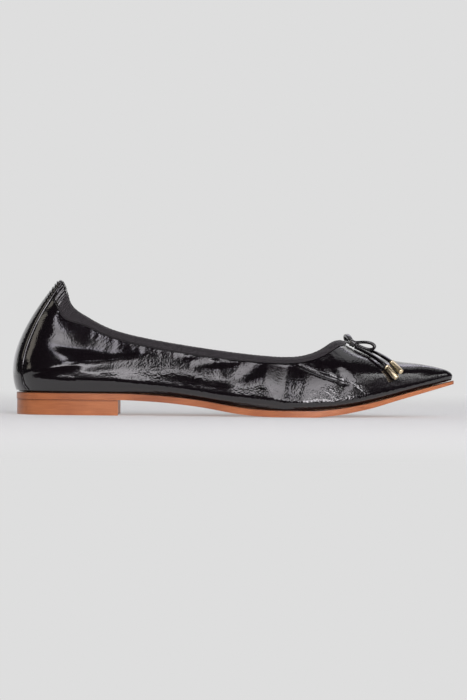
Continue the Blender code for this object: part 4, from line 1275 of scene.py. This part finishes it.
# %% [markdown]
# ## The glowing panels
# Black patent shows almost nothing but reflections, so most of its look is three large plain shapes of light
# with dark between them, each a part of a sphere round the shoe. The front one gives the broad reflections of
# the side, the low one the bright line along the ball, and the left one those of the heel. Their brightness
# falls upwards, their edges fade, and two straight cuts give the reflections their slanting ends.

# %% Curved panels
PANEL_ACROSS, PANEL_UP, FADE, RIGHT_FADE = 25, 17, 0.12, 0.66
LEFT_CUT, RIGHT_CUT = -0.154, (-0.87, 1.22)


def curved_panel(name, azimuths, elevations, radius, low_radiance, high_radiance, slant):
    """Glowing part of a sphere: radiance = (low to high) x side fades x fades under two lines.

    The two cuts are up = slant x across - 0.154 on the left and up = 1.22 - 0.87 x across on the right.
    """
    azimuth = np.radians(np.linspace(*azimuths, PANEL_ACROSS))[:, None]
    elevation = np.radians(np.linspace(*elevations, PANEL_UP))[None, :]
    x = radius * np.cos(elevation) * np.sin(azimuth)
    y = -radius * np.cos(elevation) * np.cos(azimuth)
    z = radius * np.sin(elevation) * np.ones_like(azimuth) + AIM[2]
    shares = np.meshgrid(np.linspace(0, 1, PANEL_ACROSS), np.linspace(0, 1, PANEL_UP), indexing="ij")
    screen = grid_piece(name, np.stack([x, y, z], axis=-1) + MIDDLE, np.stack(shares, axis=-1))
    glow_paper, tree, _ = new_material(name + "_glow", Roughness=1.0)
    place = add_node(tree, "SeparateXYZ", None, _0_=add_node(tree, "UVMap", {"uv_map": "metres"}))
    across, up = place.outputs["X"], place.outputs["Y"]
    fades = [(across, 0.0, FADE), (across, 1.0, RIGHT_FADE)]
    for slope, start in ((slant, LEFT_CUT), RIGHT_CUT):
        limit = add_node(tree, "Math", {"operation": "MULTIPLY_ADD", 1: slope, 2: start}, _0_=across)
        fades.append((add_node(tree, "Math", {"operation": "SUBTRACT"}, _0_=limit, _1_=up), 0.0, FADE))
    power = add_node(tree, "MapRange", {"To Min": low_radiance, "To Max": high_radiance}, Value=up)
    for source, dark, full in fades:
        span = {"From Min": dark, "From Max": full, "interpolation_type": "SMOOTHSTEP"}
        fade = add_node(tree, "MapRange", span, Value=source)
        power = add_node(tree, "Math", {"operation": "MULTIPLY"}, _0_=power, _1_=fade)
    glow = add_node(tree, "Emission", {"Color": linear("#fcf8fd")}, Strength=power)
    link(tree, tree.nodes["Material Output"], Surface=glow)
    screen.data.materials.append(glow_paper)
    screen.visible_camera = False
    screen.visible_shadow = False


curved_panel("front_panel", (-14, 66), (17, 86), 1.7, 3.8, 0.5, 2.7)
curved_panel("low_panel", (0, 56), (2, 24), 1.65, 11.0, 0.6, 40.0)
curved_panel("left_panel", (-34, 18), (13, 54), 1.72, 4.6, 1.4, 12.0)

# %% [markdown]
# ## The black screen and the room
# A photographer keeps the pale floor out of a glossy side with a strip of black felt. This one stands close in
# front of the shoe and is hidden from the camera. The room adds hardly any light of its own.

# %% Black screen and room
FELT_EDGE = np.array([
    # along, across, height
    (-0.300, -0.100, 0.038),
    (-0.130, -0.095, 0.040),
    (-0.030, -0.095, 0.040),
    (0.025, -0.099, 0.033),
    (0.045, -0.099, 0.015),
    (0.065, -0.094, 0.010),
    (0.090, -0.085, 0.010),
    (0.140, -0.060, 0.020),
    (0.250, -0.060, 0.030),
])
flag = grid_piece("black_flag", np.stack([FELT_EDGE * (1, 1, 0), FELT_EDGE]) + MIDDLE)
flag.data.materials.append(new_material("black_felt", Base_Color=linear("#050505"), Roughness=1.0)[0])
flag.visible_camera = False
flag.visible_shadow = False
flag.visible_diffuse = False

world = bpy.data.worlds.new("dim_room")
bpy.context.scene.world = world
world.use_nodes = True
world.node_tree.nodes["Background"].inputs["Color"].default_value = linear("#a9abb0")
world.node_tree.nodes["Background"].inputs["Strength"].default_value = 0.05
bpy.context.scene.view_settings.view_transform = "Standard"
print("felt from", FELT_EDGE[0, 0], "to", FELT_EDGE[-1, 0], "metres along the shoe")
